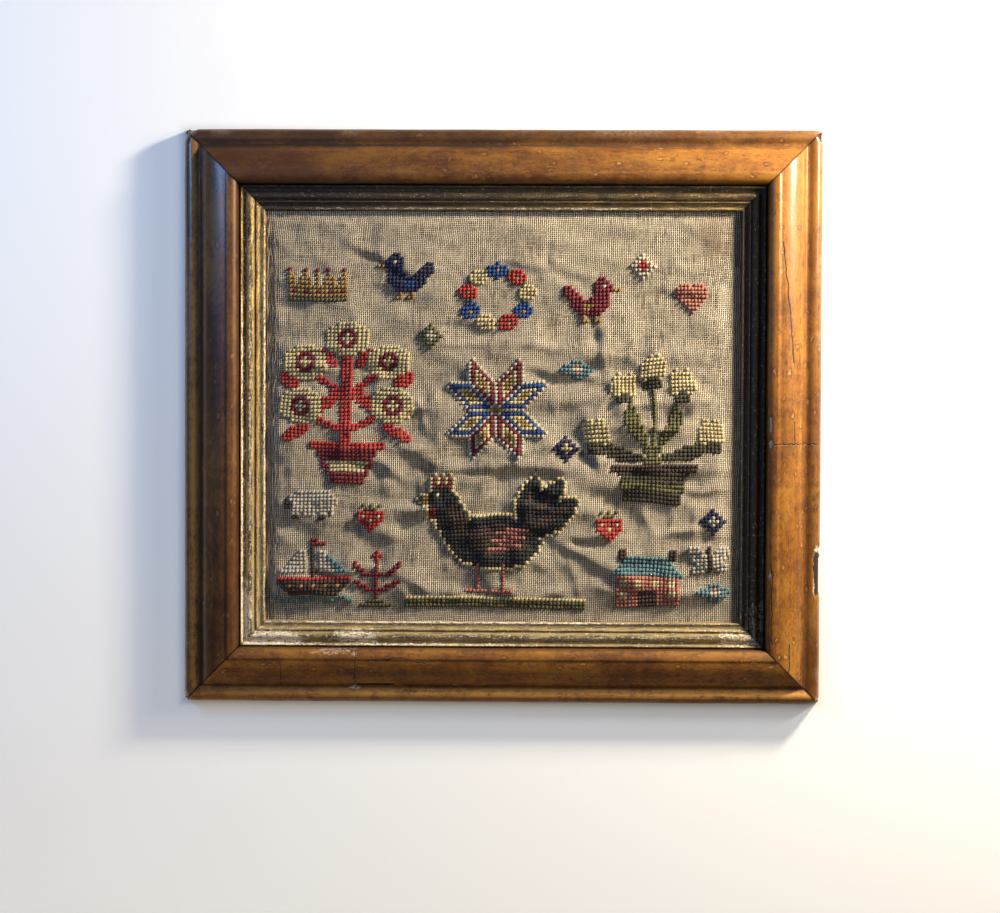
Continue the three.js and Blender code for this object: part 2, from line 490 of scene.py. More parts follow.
@dataclass(frozen=True)
class Maple:
    """Bird's eye maple under old amber varnish. It reads the plan map, in millimetres along and round a rail.

    Attributes:
        amber: The light wood.
        umber: The dark wood.
        grime: What lies in the valley and the mitres.
        bare: The unvarnished wood under lost veneer.
        honey: The clouds of lighter wood.
        fleck: The bird's eyes, which catch the light.
        lit_bead: Painted light: the colour of a bead made lighter, as if lit.
        chalk: The broken ends of ground and old filler.
        run: Millimetres over which the varnish ages, and its painted shade and light change, from one end to
            the other.
    """

    amber: Colour = (0.4, 0.142, 0.01, 1)
    umber: Colour = (0.06, 0.018, 0.003, 1)
    grime: Colour = (0.012, 0.006, 0.003, 1)
    bare: Colour = (0.014, 0.009, 0.006, 1)
    chalk: Colour = (0.6, 0.46, 0.33, 1)
    honey: Colour = (0.52, 0.24, 0.025, 1)
    fleck: Colour = (0.7, 0.37, 0.1, 1)
    lit_bead: Colour = (0.74, 0.34, 0.07, 1)
    run: float = 400

    def dress(
        self, name: str, valley: float, face: float, varnish: VarnishAndShade, cracks: tuple[Crack, ...]
    ) -> bpy.types.Material:
        """Make the finish for one rail.

        Args:
            name: The material's name.
            valley: Millimetres round the section to the valley's floor.
            face: Millimetres round the section to the sight edge.
            varnish: How the rail's varnish has aged, with its painted shade and painted light.
            cracks: The rail's own cracks.

        Returns:
            The material.
        """
        kit = Dressing(name)
        along, around = kit.plan()
        seed = sum(map(ord, name)) * 0.37
        streak = kit.noise(kit.join(along * 0.012, around * 0.28, seed), 1, 4, 0.6, 0.6)
        fibre = kit.noise(kit.join(along * 0.06, around * 2.4, seed), 1, 3, 0.6)
        curl = kit.noise(kit.join(along * 0.075, around * 0.03, seed), 1, 2, 0.5, 1.4)
        cloud = kit.noise(kit.join(along * 0.02, around * 0.05, seed + 9), 1, 3, 0.6)
        swirl = kit.noise(kit.join(along * 0.17, around * 0.22, seed + 7), 1, 3, 0.6, 2.4)
        eye_place = kit.join(along * 0.12 + swirl, around * 0.16 + curl, seed)
        eyes = kit.node("ShaderNodeTexVoronoi", {"feature": "F1"}, {"Vector": eye_place, "Scale": 1.0})
        chance = kit.node("ShaderNodeSeparateColor", inputs={0: Sock(kit, eyes.socket.node.outputs["Color"])})
        shown = chance.step(0.1, 0.6) * cloud.step(0.3, 0.48)
        eye = eyes.step(0.19, 0.08) * shown
        halo = eyes.step(0.36, 0.24) * eyes.step(0.13, 0.24) * shown
        dash = kit.noise(kit.join(along * 0.11, around * 1.3, seed + 3), 1, 1).step(0.67, 0.76)
        # painted shade and light: dark is partly aged varnish and partly painted shade, and below 0 painted
        # light
        dark = (along / self.run + 0.5) * (varnish.end - varnish.start) + varnish.start
        mottle = kit.noise(kit.join(along * 0.3, around * 0.55, seed + 11), 1, 3, 0.65, 1.2)
        tone = streak * 0.6 + curl * 0.55 + cloud * 0.35 + fibre * 0.35 + swirl * 0.6 + mottle * 0.35
        wood = kit.blend((tone - 0.82 - dark * 0.3).step(0.02, 0.95), self.umber, self.amber)
        wood = kit.blend((mottle * 0.5 + cloud * 0.9).step(0.6, 0.95) * 0.6, wood, self.honey)
        # painted shade: dark blends the rail towards umber, and also deepens the valley and the mitres below
        wood = kit.blend(dark.highest(0) * 0.55, wood, self.umber)
        wood = kit.blend((halo * 0.6).highest(dash * 0.6), wood, self.umber)
        wood = kit.blend(eye * (0.6 - dark * 0.4).highest(0), wood, self.fleck)
        dirt_edge = kit.noise(kit.join(along * 0.15, around * 0.4, seed), 1, 3) * 2.2
        hollow = (abs(around - valley) + dirt_edge).step(3.0, 1.3) * (dark * 0.6 + 0.3)
        lip = (around + dirt_edge).step(face - 1.5, face + 2.2)
        bead = (around + dirt_edge).step(valley + 0.5, valley - 2.5)
        # painted light on the bead, lighter as if lit, and painted shade towards its outer flank
        faded = kit.blend(((tone - 1.35) * 3).step(-0.9, 0.5), self.umber, self.lit_bead)
        faded = kit.blend(around.step(valley - 4.5, valley - 9) * 0.8, faded, self.umber)
        if varnish.bead > 0:
            wood = kit.blend(bead * varnish.bead, wood, self.grime)
        else:
            # painted light: the bead's lightening fades out towards the rail's first end
            wood = kit.blend(bead * (along / self.run + 0.5).step(-0.1, 0.4) * -varnish.bead, wood, faded)
        worn = kit.mark("worn") * kit.noise(kit.place(), 420, 3).step(0.3, 0.62)
        wood = kit.blend(worn * 0.28, wood, self.chalk)
        wood = kit.blend(hollow.highest(lip * 0.6), wood, self.grime)
        seam = (kit.mark("seam") + (streak - 0.5) * 0.8).step(0.55, 0.9)
        wood = kit.blend(seam * (dark * 0.5 + 0.45).lowest(0.9), wood, self.grime)
        bent_along = along + (kit.noise(kit.join(along, around, seed), 0.35, 2) - 0.5) * 3
        bent_around = around + (kit.noise(kit.join(along, around, seed + 5), 0.12, 3) - 0.5) * 3
        split = None
        for crack in cracks:
            mask = crack.mask(bent_along, bent_around)
            split = mask if split is None else split.highest(mask)
        if split is not None:
            wood = kit.blend(split * 0.92, wood, self.grime)
        rag = kit.noise(kit.place(), 700, 2) - 0.5
        lost = (kit.mark("lost") + rag * 0.5).step(0.4, 0.6)
        chalky = (kit.mark("chalk") + rag * 1.5).step(0.3, 0.95)
        wood = kit.blend(lost, wood, self.bare)
        wood = kit.blend(chalky, wood, self.chalk)
        dull = (lost + chalky).lowest(1)
        height = fibre * 0.25 + cloud * 0.5 + swirl * 0.5 - dull * 1.5
        if split is not None:
            height = height - split * 2.5
        return kit.finish(
            Base_Color=wood,
            Roughness=0.62 - varnish.gloss * 0.45 + cloud * 0.14 + dull * 0.4 + hollow * 0.25,
            Coat_Weight=(1 - dull) * (1 - hollow) * around.step(face - 3, face - 8) * varnish.gloss,
            Coat_Roughness=0.2,
            Normal=kit.bump(height, 0.12 * MM, 0.9),
        )


@dataclass(frozen=True)
class Gilding:
    """Tarnished gold on brown bole on white gesso, worn through on the crests and broken off in places.

    Attributes:
        gold: The leaf.
        tarnish: The leaf where it has dulled.
        bole: The clay under it.
        gesso: The chalk ground under both.
        rubbed_pale: Leaf rubbed so thin that the chalk shows through.
        run: Millimetres over which it ages from one end to the other.
    """

    gold: Colour = (0.7, 0.46, 0.13, 1)
    tarnish: Colour = (0.22, 0.14, 0.055, 1)
    bole: Colour = (0.03, 0.018, 0.012, 1)
    gesso: Colour = (0.9, 0.78, 0.58, 1)
    rubbed_pale: Colour = (0.42, 0.33, 0.17, 1)
    # run: Millimetres over which it ages, and its painted shade changes, from one end to the other.
    run: float = 330

    def dress(
        self, name: str, dirt_and_shade_ends: tuple[float, float], rubbed_off: tuple[float, float], holes: tuple[Crack, ...]
    ) -> bpy.types.Material:
        """Make the finish for one slip.

        It reads the marks crest, hollow and broken, and the plan map in millimetres along and round the slip.

        Args:
            name: The material's name.
            dirt_and_shade_ends: How dark the slip is made at its two ends, from 0 for clean to 1 for dark, or
                a little past. It is
            partly grime and partly painted shade.
            rubbed_off: How far it is rubbed pale at its two ends, on the same scale.
            holes: Its nail holes.

        Returns:
            The material.
        """
        kit = Dressing(name)
        along, around = kit.plan()
        crest, hollow, broken = (kit.mark(label) for label in ("crest", "hollow", "broken"))
        seed = sum(map(ord, name)) * 0.37
        long = kit.noise(kit.join(along * 0.07, around * 0.5, seed), 1, 4, 0.65)
        fine = kit.noise(kit.join(along * 0.5, around * 1.2, seed), 1, 3, 0.6)
        speck = kit.noise(kit.place(), 760, 3, 0.65)
        flake = kit.noise(kit.join(along * 0.34, around * 0.9, seed + 4), 1, 4, 0.7)
        share = along / self.run + 0.5
        pale = share * (rubbed_off[1] - rubbed_off[0]) + rubbed_off[0]
        leaf = kit.blend((long * 0.7 + fine * 0.5).step(0.42, 0.75), self.gold, self.tarnish)
        thin = (fine * 0.6 + long * 0.5 + crest * 0.12 + pale * 0.5).step(0.55, 1.05) * pale.highest(0)
        leaf = kit.blend(thin, leaf, self.rubbed_pale)
        rubbed = (crest * 0.16 + long * 0.55 + flake * 0.5).step(0.6, 0.74)
        through = kit.noise(kit.join(along * 0.1, around * 0.75, seed + 12), 1, 5, 0.72).step(0.52, 0.62)
        finish = kit.blend(rubbed.highest(through * 0.75) * 0.85, leaf, self.bole)
        # painted shade: partly grime and partly the shade of the rails, darkening the slip along its length
        dirt_and_shade = share * (dirt_and_shade_ends[1] - dirt_and_shade_ends[0]) + dirt_and_shade_ends[0]
        grime = (hollow * 0.9 + long * 0.35 - 0.1).step(0.3, 0.95) * (1 - broken * 0.6) * (1 - pale * 0.7)
        ripple = kit.noise(kit.join(along * 1.3, around * 0.14, seed + 6), 1, 2)
        finish = kit.blend(grime * 0.9, finish, self.bole)
        # painted shade: blends the slip towards the bole, most on the right and top slips
        finish = kit.blend(dirt_and_shade, finish, self.bole)
        lost = broken * 0.38 + crest * 0.05 + pale * 0.06 + (flake - 0.5) * 1.7 + (speck - 0.5) * 1.2
        craze = kit.noise(kit.join(along * 0.9, around * 0.04, seed + 8), 1, 1).step(0.7, 0.74)
        craze = craze * speck.step(0.4, 0.6)
        chipped = lost.step(0.25, 0.4).highest(craze * 0.5) * (1 - dirt_and_shade * 0.75)
        finish = kit.blend(chipped, finish, self.gesso)
        metal = (1 - chipped) * (1 - rubbed * 0.8) * (1 - grime * 0.8) * (1 - thin * 0.8) * (1 - dirt_and_shade)
        for hole in holes:
            finish = kit.blend(hole.mask(along, around), finish, self.bole)
        height = long * 0.4 + speck * 0.3 + flake * 0.7 + ripple * (0.4 + broken)
        height = height - chipped * 0.7 - through * 0.3
        return kit.finish(
            Base_Color=finish,
            Metallic=metal * 0.5,
            Roughness=0.38 + fine * 0.2 + (1 - metal) * 0.25,
            Normal=kit.bump(height, 0.3 * MM, 0.9),
        )


@dataclass(frozen=True)
class Linen:
    """An open even weave. The plan map is in threads: one unit of it is the distance from thread to thread.

    A warp thread lies at height (-1)^i cos(pi (v - 1/2)) and a weft thread at its opposite, so each passes
    over and under the other by turns.

    Attributes:
        thread: The clean thread.
        aged: The darkened thread.
        stain: The brown foxing.
        gap: What shows between the threads.
    """

    thread: Colour = (0.94, 0.8, 0.58, 1)
    aged: Colour = (0.26, 0.2, 0.13, 1)
    stain: Colour = (0.24, 0.12, 0.045, 1)
    # gap: What shows between the threads: near black, painted shade for the shaded space behind the weave.
    gap: Colour = (0.012, 0.011, 0.013, 1)

    def dress(self, name: str) -> bpy.types.Material:
        """Make the finish. It also reads the mark soil, which is 1 where the cloth is stained."""
        kit = Dressing(name)
        across, up = kit.plan()
        column, row = across.floor(), up.floor()
        plump_warp = kit.noise(kit.join(column * 3.7, up * 0.16), 1, 2, 0.7)
        plump_weft = kit.noise(kit.join(across * 0.16, row * 5.3), 1, 2, 0.7)
        half_warp = plump_warp * 0.22 + 0.11
        half_weft = plump_weft * 0.2 + 0.05
        off_warp = abs(across.fract() - 0.5)
        off_weft = abs(up.fract() - 0.5)
        on_warp = (half_warp - off_warp).step(-0.02, 0.1)
        on_weft = (half_weft - off_weft).step(-0.02, 0.1)
        warp_side = (column * 0.5).fract().above(0.25) * 2 - 1
        weft_side = (row * 0.5).fract().above(0.25) * 2 - 1
        warp_wave = warp_side * ((up - 0.5) * math.pi).cosine()
        weft_wave = weft_side * ((across - 0.5) * math.pi).cosine() * -1
        warp_round = 1 - (off_warp / half_warp).lowest(1) ** 2
        weft_round = 1 - (off_weft / half_weft).lowest(1) ** 2
        warp_height = on_warp * (warp_round * 0.5 + warp_wave * 0.3 + 0.5)
        weft_height = on_weft * (weft_round * 0.5 + weft_wave * 0.3 + 0.5)
        height = warp_height.highest(weft_height)
        solid = on_warp.highest(on_weft)
        tone_warp = kit.noise(kit.join(column * 7.1, up * 0.09), 1, 2, 0.6)
        tone_weft = kit.noise(kit.join(across * 0.09, row * 9.7), 1, 2, 0.6)
        over = (warp_height - weft_height).above(0)
        tone = over * tone_warp + (1 - over) * tone_weft
        blotch = kit.noise(kit.place(), 28, 4, 0.6)
        yarn = kit.blend((tone * 1.7 + blotch * 0.6 - 0.48).step(0.2, 0.75), self.aged, self.thread)
        soil = (kit.mark("soil") + (blotch - 0.5) * 0.9).step(0.25, 1.0)
        yarn = kit.blend(soil * 0.7, yarn, self.stain)
        # painted shade: near black between threads, and each thread darker at its edges and where it dips
        # under
        cloth = kit.blend((solid * (height * 0.75 + 0.25)).lowest(1), self.gap, yarn)
        return kit.finish(
            Base_Color=cloth,
            Roughness=0.92,
            Sheen_Weight=0.15,
            Normal=kit.bump(height, 0.5 * MM, 1.0),
        )


@dataclass(frozen=True)
class Worsted:
    """Dyed wool yarn. The plan map runs once along and once round each leg of a stitch.

    Attributes:
        dye: The yarn's colour.
        twist: How many turns of its two plies show along a leg.
    """

    dye: Colour
    twist: float = 3.0

    def dress(self, name: str) -> bpy.types.Material:
        """Make the finish. It reads the mark shade, from 0 for a faded stitch to 1 for a deep one."""
        kit = Dressing(name)
        along, around = kit.plan()
        shade = kit.mark("shade")
        ply = ((along * self.twist + around * 2) * TURN).cosine() * 0.5 + 0.5
        hair = kit.noise(kit.place(), 2600, 3, 0.7)
        patch = kit.noise(kit.place(), 60, 2)
        deep = tuple(0.52 * part for part in self.dye[:3]) + (1,)
        faded = tuple(0.76 * part + 0.09 for part in self.dye[:3]) + (1,)
        # painted shade: the ply stripes darken the grooves between the plies; shade, hair and patch are
        # random tone
        light = (shade * 0.55 + hair * 0.35 + ply * 0.22 + patch * 0.25 - 0.1).step(0.05, 0.9)
        yarn = kit.blend(light, deep, self.dye)
        yarn = kit.blend((patch * 0.8 + shade * 0.5).step(0.85, 1.1) * 0.35, yarn, faded)
        return kit.finish(
            Base_Color=yarn,
            Roughness=0.88,
            Sheen_Weight=0.2,
            Normal=kit.bump(ply * 0.6 + hair * 0.6, 0.16 * MM, 0.8),
        )


@dataclass(frozen=True)
class Pine:
    """Bare aged pine: grain lines are sine bands along X, bent by noise, in the object's own coordinates.

    Attributes:
        early: The pale wood.
        late: The dark lines.
    """

    early: Colour = (0.4, 0.25, 0.12, 1)
    late: Colour = (0.19, 0.095, 0.04, 1)

    def dress(self, name: str) -> bpy.types.Material:
        """Make the finish."""
        kit = Dressing(name)
        along, across = kit.split(kit.place())
        bend = kit.noise(kit.join(along * 3, across * 22), 1, 3)
        lines = ((across * 190 + bend * 9) * TURN * 0.5).cosine() * 0.5 + 0.5
        fibre = kit.noise(kit.join(along * 30, across * 900), 1, 3)
        dust = kit.noise(kit.place(), 30, 4)
        wood = kit.blend((lines ** 3) * 0.6 + fibre * 0.25, self.early, self.late)
        wood = kit.blend(dust.step(0.45, 0.8) * 0.5, wood, self.late)
        return kit.finish(
            Base_Color=wood, Roughness=0.82, Normal=kit.bump(fibre + lines * 0.4, 0.12 * MM, 0.8)
        )


class WoolShade(Enum):
    """The wools, each with the letter that charts it and its dye."""

    CREAM = ("c", (0.56, 0.46, 0.24, 1))
    WHITE = ("w", (0.5, 0.44, 0.34, 1))
    SCARLET = ("r", (0.42, 0.03, 0.022, 1))
    CRIMSON = ("k", (0.19, 0.01, 0.018, 1))
    OLIVE = ("o", (0.12, 0.11, 0.035, 1))
    MOSS = ("d", (0.045, 0.036, 0.015, 1))
    BROWN = ("b", (0.052, 0.026, 0.016, 1))
    BLACK = ("x", (0.008, 0.0075, 0.009, 1))
    NAVY = ("n", (0.008, 0.01, 0.055, 1))
    ROYAL = ("u", (0.012, 0.06, 0.23, 1))
    TEAL = ("t", (0.11, 0.22, 0.24, 1))
    PINK = ("p", (0.44, 0.16, 0.11, 1))
    MUSTARD = ("m", (0.32, 0.19, 0.05, 1))

    @property
    def letter(self) -> str:
        """The letter that charts this wool."""
        return self.value[0]

    @property
    def dye(self) -> Colour:
        """This wool's colour."""
        return self.value[1]


BUTTERFLY = (
    "www..b",
    "wwww.b",
    "wwtwwb",
    ".wwwwb",
    "..wwwb",
    ".wtwwb",
    ".www.b",
)
HEART = (
    ".ppp.",
    "ppppp",
    "ppppp",
    "ppppp",
    ".pppp",
    "..ppp",
    "...pp",
    "....p",
)
STRAWBERRY = (
    ".o.o",
    "..oo",
    "rrrr",
    "rcrr",
    "rrrc",
    ".rrr",
    "..rr",
    "...r",
)
CROWN = (
    "k...k..k",
    "m...m..m",
    "mm.mmm.m",
    "mm.mmm.m",
    "mmmmmmmm",
    "mkmmkmmk",
    "mmmmmmmm",
    "oooooooo",
)
SPRIG = (
    "......r",
    ".....rr",
    "......r",
    "k.....k",
    "kk....k",
    ".kk...k",
    "..kkkkk",
    "......k",
    "kk....k",
    ".kkk..k",
    "...kkkk",
    "......k",
    "......k",
    "....ooo",
    "..ooooo",
)
DAISY = (
    "...tt",
    ".tttp",
    "tttww",
    ".tttp",
    "...tt",
)
COTTAGE = (
    "..bb......",
    "..bb......",
    "..bbtttttt",
    "...ttttttt",
    "..tttttttt",
    ".ttttttttt",
    "tttttttttt",
    ".ppppppppp",
    ".pccppccpp",
    ".pccppccpp",
    ".ppppppppp",
    ".pccpppbbb",
    ".pccpppbbb",
    ".ppppppbbb",
    ".ppppppbbb",
)
DOVE = (
    ".....nn..........",
    "....nnnn.........",
    "...nnwnn......nn.",
    ".mmnnnnn.....nnn.",
    "....nnnn....nnnn.",
    "....nnnnn..nnnn..",
    "....nnnnnnnnnn...",
    "....nnnnuuunnn...",
    ".....nnnnuunn....",
    "......nnnnnn.....",
    ".......m..m......",
    "......mm.mm......",
)
LAMB = (
    "...wwwwwwwww..",
    ".wwwwwwwwwwww.",
    "bwwwwwwwwwwwww",
    "bbwwwwwwwwwwww",
    "bbwwwwwwwwwww.",
    "..wwwwwwwwwww.",
    "..ww.www.ww.w.",
    "..bb.....bb...",
)
BOAT = (
    "..........kk.........",
    "..........kkkk.......",
    "..........b..........",
    ".......ww.b.ww.......",
    "......www.b.wwt......",
    ".....wwww.b.wwtt.....",
    "....wwwww.b.wwwtt....",
    "...wwwwww.b.wwwttt...",
    "..wwwwwww.b.wwwwttt..",
    "..........b..........",
    ".rrrrrrrrrrrrrrrrrrr.",
    ".bbbbbbbbbbbbbbbbbbb.",
    "..bbmbbmbbmbbmbbmbb..",
    "...bbbbbbbbbbbbbbb...",
    "....bbbbbbbbbbbbb....",
    "tt...tt....tt....tt..",
    "..ttt..tttt..tttt..tt",
)


@dataclass
class Chart:
    """The sampler's own chart: one cell a stitch, counted from the window's lower left corner.

    Attributes:
        columns: How many stitches the window is wide.
        rows: How many it is high.
    """

    columns: int
    rows: int

    def __post_init__(self) -> None:
        """Start with bare cloth. A cell holds 0, or 1 and up for a wool."""
        self.cells = np.zeros((self.rows, self.columns), dtype=int)
        self.row, self.column = np.mgrid[0 : self.rows, 0 : self.columns].astype(float)

    def fill(self, inside: np.ndarray, wool: WoolShade | None) -> None:
        """Work every cell inside a shape in one wool, or leave it bare."""
        self.cells[inside] = list(WoolShade).index(wool) + 1 if wool else 0

    def ellipse(self, column: float, row: float, reach: float, rise: float, wool: WoolShade | None) -> None:
        """Fill where (dx / reach)^2 + (dy / rise)^2 is 1 or less."""
        self.fill(((self.column - column) / reach) ** 2 + ((self.row - row) / rise) ** 2 <= 1, wool)

    def lozenge(self, column: float, row: float, reach: float, wool: WoolShade | None) -> None:
        """Fill where |dx| + |dy| is reach or less."""
        self.fill(abs(self.column - column) + abs(self.row - row) <= reach, wool)

    def leaf(
        self, column: float, row: float, length: float, width: float, turn: float, wool: WoolShade
    ) -> None:
        """Fill a pointed leaf, turned in degrees.

        A cell l along it and w across it is filled where |w| <= width / 2 (1 - (2l / length)^2).
        """
        cos, sin = math.cos(math.radians(turn)), math.sin(math.radians(turn))
        along = (self.column - column) * cos + (self.row - row) * sin
        across = (self.row - row) * cos - (self.column - column) * sin
        self.fill(abs(across) <= width / 2 * (1 - (2 * along / length) ** 2), wool)

    def bar(
        self, start: tuple[float, float], end: tuple[float, float], width: float, wool: WoolShade
    ) -> None:
        """Fill a straight bar from one place to another, as wide as given."""
        run = end[0] - start[0], end[1] - start[1]
        share = (self.column - start[0]) * run[0] + (self.row - start[1]) * run[1]
        share = np.clip(share / (run[0] ** 2 + run[1] ** 2), 0, 1)
        off = np.hypot(self.column - start[0] - share * run[0], self.row - start[1] - share * run[1])
        self.fill(off <= width / 2, wool)

    def taper(
        self, column: float, rows: tuple[float, float], widths: tuple[float, float], wool: WoolShade
    ) -> None:
        """Fill between two rows, with a width that runs evenly from the first to the second."""
        share = (self.row - rows[0]) / (rows[1] - rows[0])
        half = (widths[0] + share * (widths[1] - widths[0])) / 2
        self.fill((share >= 0) & (share <= 1) & (abs(self.column - column) <= half), wool)

    def stamp(
        self, lines: tuple[str, ...], column: int, row: int, fold: bool = False, swap: str = ""
    ) -> None:
        """Work a small chart.

        Args:
            lines: Its rows from the top, one letter a stitch.
            column: Its left column.
            row: Its lowest row.
            fold: Whether the lines are a left half whose last letter is the middle.
            swap: Pairs of letters, the second of which takes the first one's place. It also turns the
                chart round.
        """
        letters = {wool.letter: place + 1 for place, wool in enumerate(WoolShade)}
        changed = dict(zip(swap[::2], swap[1::2]))
        for height, line in enumerate(reversed(lines)):
            whole = line + line[-2::-1] if fold else line
            whole = whole[::-1] if swap else whole
            for step, letter in enumerate(whole):
                if letter != ".":
                    self.cells[row + height, column + step] = letters[changed.get(letter, letter)]

    def outline(self, columns: tuple[int, int], rows: tuple[int, int], wool: WoolShade) -> None:
        """Work a ring one stitch wide round all that lies in a block of cells."""
        block = self.cells[rows[0] : rows[1], columns[0] : columns[1]]
        filled = np.pad(block > 0, 1)
        near = filled[:-2, 1:-1] | filled[2:, 1:-1] | filled[1:-1, :-2] | filled[1:-1, 2:]
        block[near & (block == 0)] = list(WoolShade).index(wool) + 1


class Motifs:
    """The sampler's design: common motifs of the craft, each worked by its own method."""

    def __init__(self, chart: Chart) -> None:
        """Keep the chart that the motifs are worked on."""
        self.chart = chart

    def work(self) -> None:
        """Work them all."""
        self.rose_pot(21, 36)
        self.tulip_fan(101, 31)
        self.cockerel(40, 7)
        self.star(60, 55)
        self.wreath(60, 84)
        self.small_motifs()

    def rose(self, column: float, row: float) -> None:
        """Work an open rose: a cream round with a crimson ring and a cream eye."""
        self.chart.ellipse(column, row, 5.6, 4.6, WoolShade.CREAM)
        self.chart.ellipse(column, row, 2.7, 2.3, WoolShade.CRIMSON)
        self.chart.ellipse(column, row, 1.1, 1.1, WoolShade.CREAM)

    def rose_pot(self, column: int, row: int) -> None:
        """Work a pot of five roses on scarlet stems, from its foot's middle."""
        chart = self.chart
        chart.taper(column, (row, row + 8), (9, 15), WoolShade.CRIMSON)
        chart.taper(column, (row + 3, row + 5), (8, 10), WoolShade.CREAM)
        chart.taper(column, (row + 9, row + 10), (19, 19), WoolShade.SCARLET)
        chart.bar((column, row + 10), (column, row + 36), 2, WoolShade.SCARLET)
        for side in (-1, 1):
            chart.bar((column, row + 13), (column + side * 11, row + 19), 1.6, WoolShade.SCARLET)
            chart.bar((column, row + 22), (column + side * 10, row + 29), 1.6, WoolShade.SCARLET)
            chart.leaf(column + side * 13, row + 13, 9, 3.6, side * -28, WoolShade.SCARLET)
            chart.leaf(column + side * 5, row + 21, 8, 3.4, side * 150, WoolShade.SCARLET)
            chart.leaf(column + side * 15, row + 26, 7, 3.2, side * 40, WoolShade.SCARLET)
            chart.leaf(column + side * 5, row + 32, 7, 3, side * 38, WoolShade.SCARLET)
            self.rose(column + side * 12, row + 20)
            self.rose(column + side * 11, row + 31)
        self.rose(column, row + 37)

    def tulip_fan(self, column: int, row: int) -> None:
        """Work a fan of five cream tulips over an olive tub, from its foot's middle."""
        chart = self.chart
        chart.taper(column, (row, row + 7), (14, 18), WoolShade.MOSS)
        chart.taper(column, (row + 3, row + 4), (16, 17), WoolShade.OLIVE)
        chart.taper(column, (row + 8, row + 9), (22, 22), WoolShade.BROWN)
        for lean in (-2, -1, 0, 1, 2):
            tip = column + lean * 7.6, row + 33 - 4.2 * lean * lean
            chart.bar((column, row + 10), tip, 1.7, WoolShade.OLIVE)
            chart.ellipse(tip[0], tip[1] + 1.5, 3.6, 4.2, WoolShade.CREAM)
            chart.ellipse(tip[0], tip[1] - 2.2, 2.4, 1.6, WoolShade.MOSS)
            chart.ellipse(tip[0], tip[1] + 5.4, 0.8, 1.2, None)
        for side in (-1, 1):
            chart.leaf(column + side * 9, row + 12.5, 15, 4, side * 16, WoolShade.MOSS)
            chart.leaf(column + side * 5, row + 19, 11, 3.6, side * 62, WoolShade.OLIVE)

    def cockerel(self, column: int, row: int) -> None:
        """Work a dark cockerel on a two coloured ground, from the corner of its block."""
        chart = self.chart
        for lean, length in ((78, 15), (55, 17), (32, 16)):
            cos, sin = math.cos(math.radians(lean)), math.sin(math.radians(lean))
            middle = column + 27 + length / 2 * cos, row + 15 + length / 2 * sin
            chart.leaf(*middle, length + 3, 6.4, lean, WoolShade.BLACK)
            chart.leaf(*middle, length - 3, 2.2, lean, WoolShade.BROWN)
        chart.ellipse(column + 19, row + 13, 12, 6.8, WoolShade.BLACK)
        chart.bar((column + 10, row + 15), (column + 7, row + 23), 8, WoolShade.BLACK)
        chart.leaf(column + 10, row + 19, 12, 4.6, 108, WoolShade.BROWN)
        chart.ellipse(column + 6, row + 25, 3.8, 3.2, WoolShade.BLACK)
        chart.ellipse(column + 5, row + 26, 0.6, 0.6, WoolShade.CREAM)
        chart.ellipse(column + 20, row + 13.5, 8, 3.8, WoolShade.BROWN)
        for feather in (0, 1, 2):
            chart.leaf(column + 22 + feather, row + 11.5 + 2 * feather, 9, 1.6, 8, WoolShade.PINK)
            chart.ellipse(column + 4 + 2 * feather, row + 29, 0.9, 1.6, WoolShade.CRIMSON)
        chart.ellipse(column + 3.4, row + 21, 1.2, 1.8, WoolShade.CRIMSON)
        chart.leaf(column + 1.4, row + 24.6, 4, 2, 0, WoolShade.MUSTARD)
        for leg in (15, 22):
            chart.bar((column + leg, row + 7), (column + leg, row + 1), 1.4, WoolShade.PINK)
            chart.bar((column + leg - 3, row), (column + leg + 2, row), 1, WoolShade.PINK)
        chart.outline((column - 3, column + 48), (row + 6, row + 36), WoolShade.CREAM)
        ground = (chart.column >= column - 3) & (chart.column <= column + 43)
        chart.fill(ground & (chart.row >= row - 4) & (chart.row <= row - 2), WoolShade.OLIVE)
        chart.fill(ground & (chart.row == row - 2), WoolShade.CREAM)

    def star(self, column: int, row: int) -> None:
        """Work an eight pointed star.

        With a and b the longer and shorter of |dx| and |dy|, a point of it is the parallelogram b >= 1,
        b <= 6, 1 <= a - b <= 6.
        """
        chart = self.chart
        wide, high = abs(chart.column - column), abs(chart.row - row)
        longer, shorter = np.maximum(wide, high), np.minimum(wide, high)
        point = (shorter >= 1) & (shorter <= 6) & (longer - shorter >= 1) & (longer - shorter <= 6)
        chart.fill(point & (wide > high), WoolShade.ROYAL)
        chart.fill(point & (wide < high), WoolShade.CRIMSON)
        off_middle = abs(longer - shorter - 3.5)
        chart.fill(point & (shorter >= 2) & (shorter <= 5) & (off_middle < 2), WoolShade.CREAM)
        chart.fill(point & (abs(shorter - 3.5) < 1) & (off_middle < 1), WoolShade.MUSTARD)
        chart.lozenge(column, row, 1, WoolShade.MUSTARD)
        chart.outline((column - 15, column + 16), (row - 15, row + 16), WoolShade.WHITE)

    def wreath(self, column: int, row: int) -> None:
        """Work a ring of small flowers: nine rounds at even turns on an olive ring."""
        chart = self.chart
        off = np.hypot(chart.column - column, (chart.row - row) * 1.15)
        chart.fill((off > 7) & (off < 8.6), WoolShade.OLIVE)
        petals = (WoolShade.ROYAL, WoolShade.CREAM, WoolShade.SCARLET)
        for place in range(9):
            angle = TURN * (place / 9 + 0.25)
            middle = column + 8 * math.cos(angle), row + 7 * math.sin(angle)
            chart.ellipse(*middle, 2.4, 2.1, petals[place % 3])
            chart.ellipse(round(middle[0]), round(middle[1]), 0.6, 0.6, WoolShade.MUSTARD)

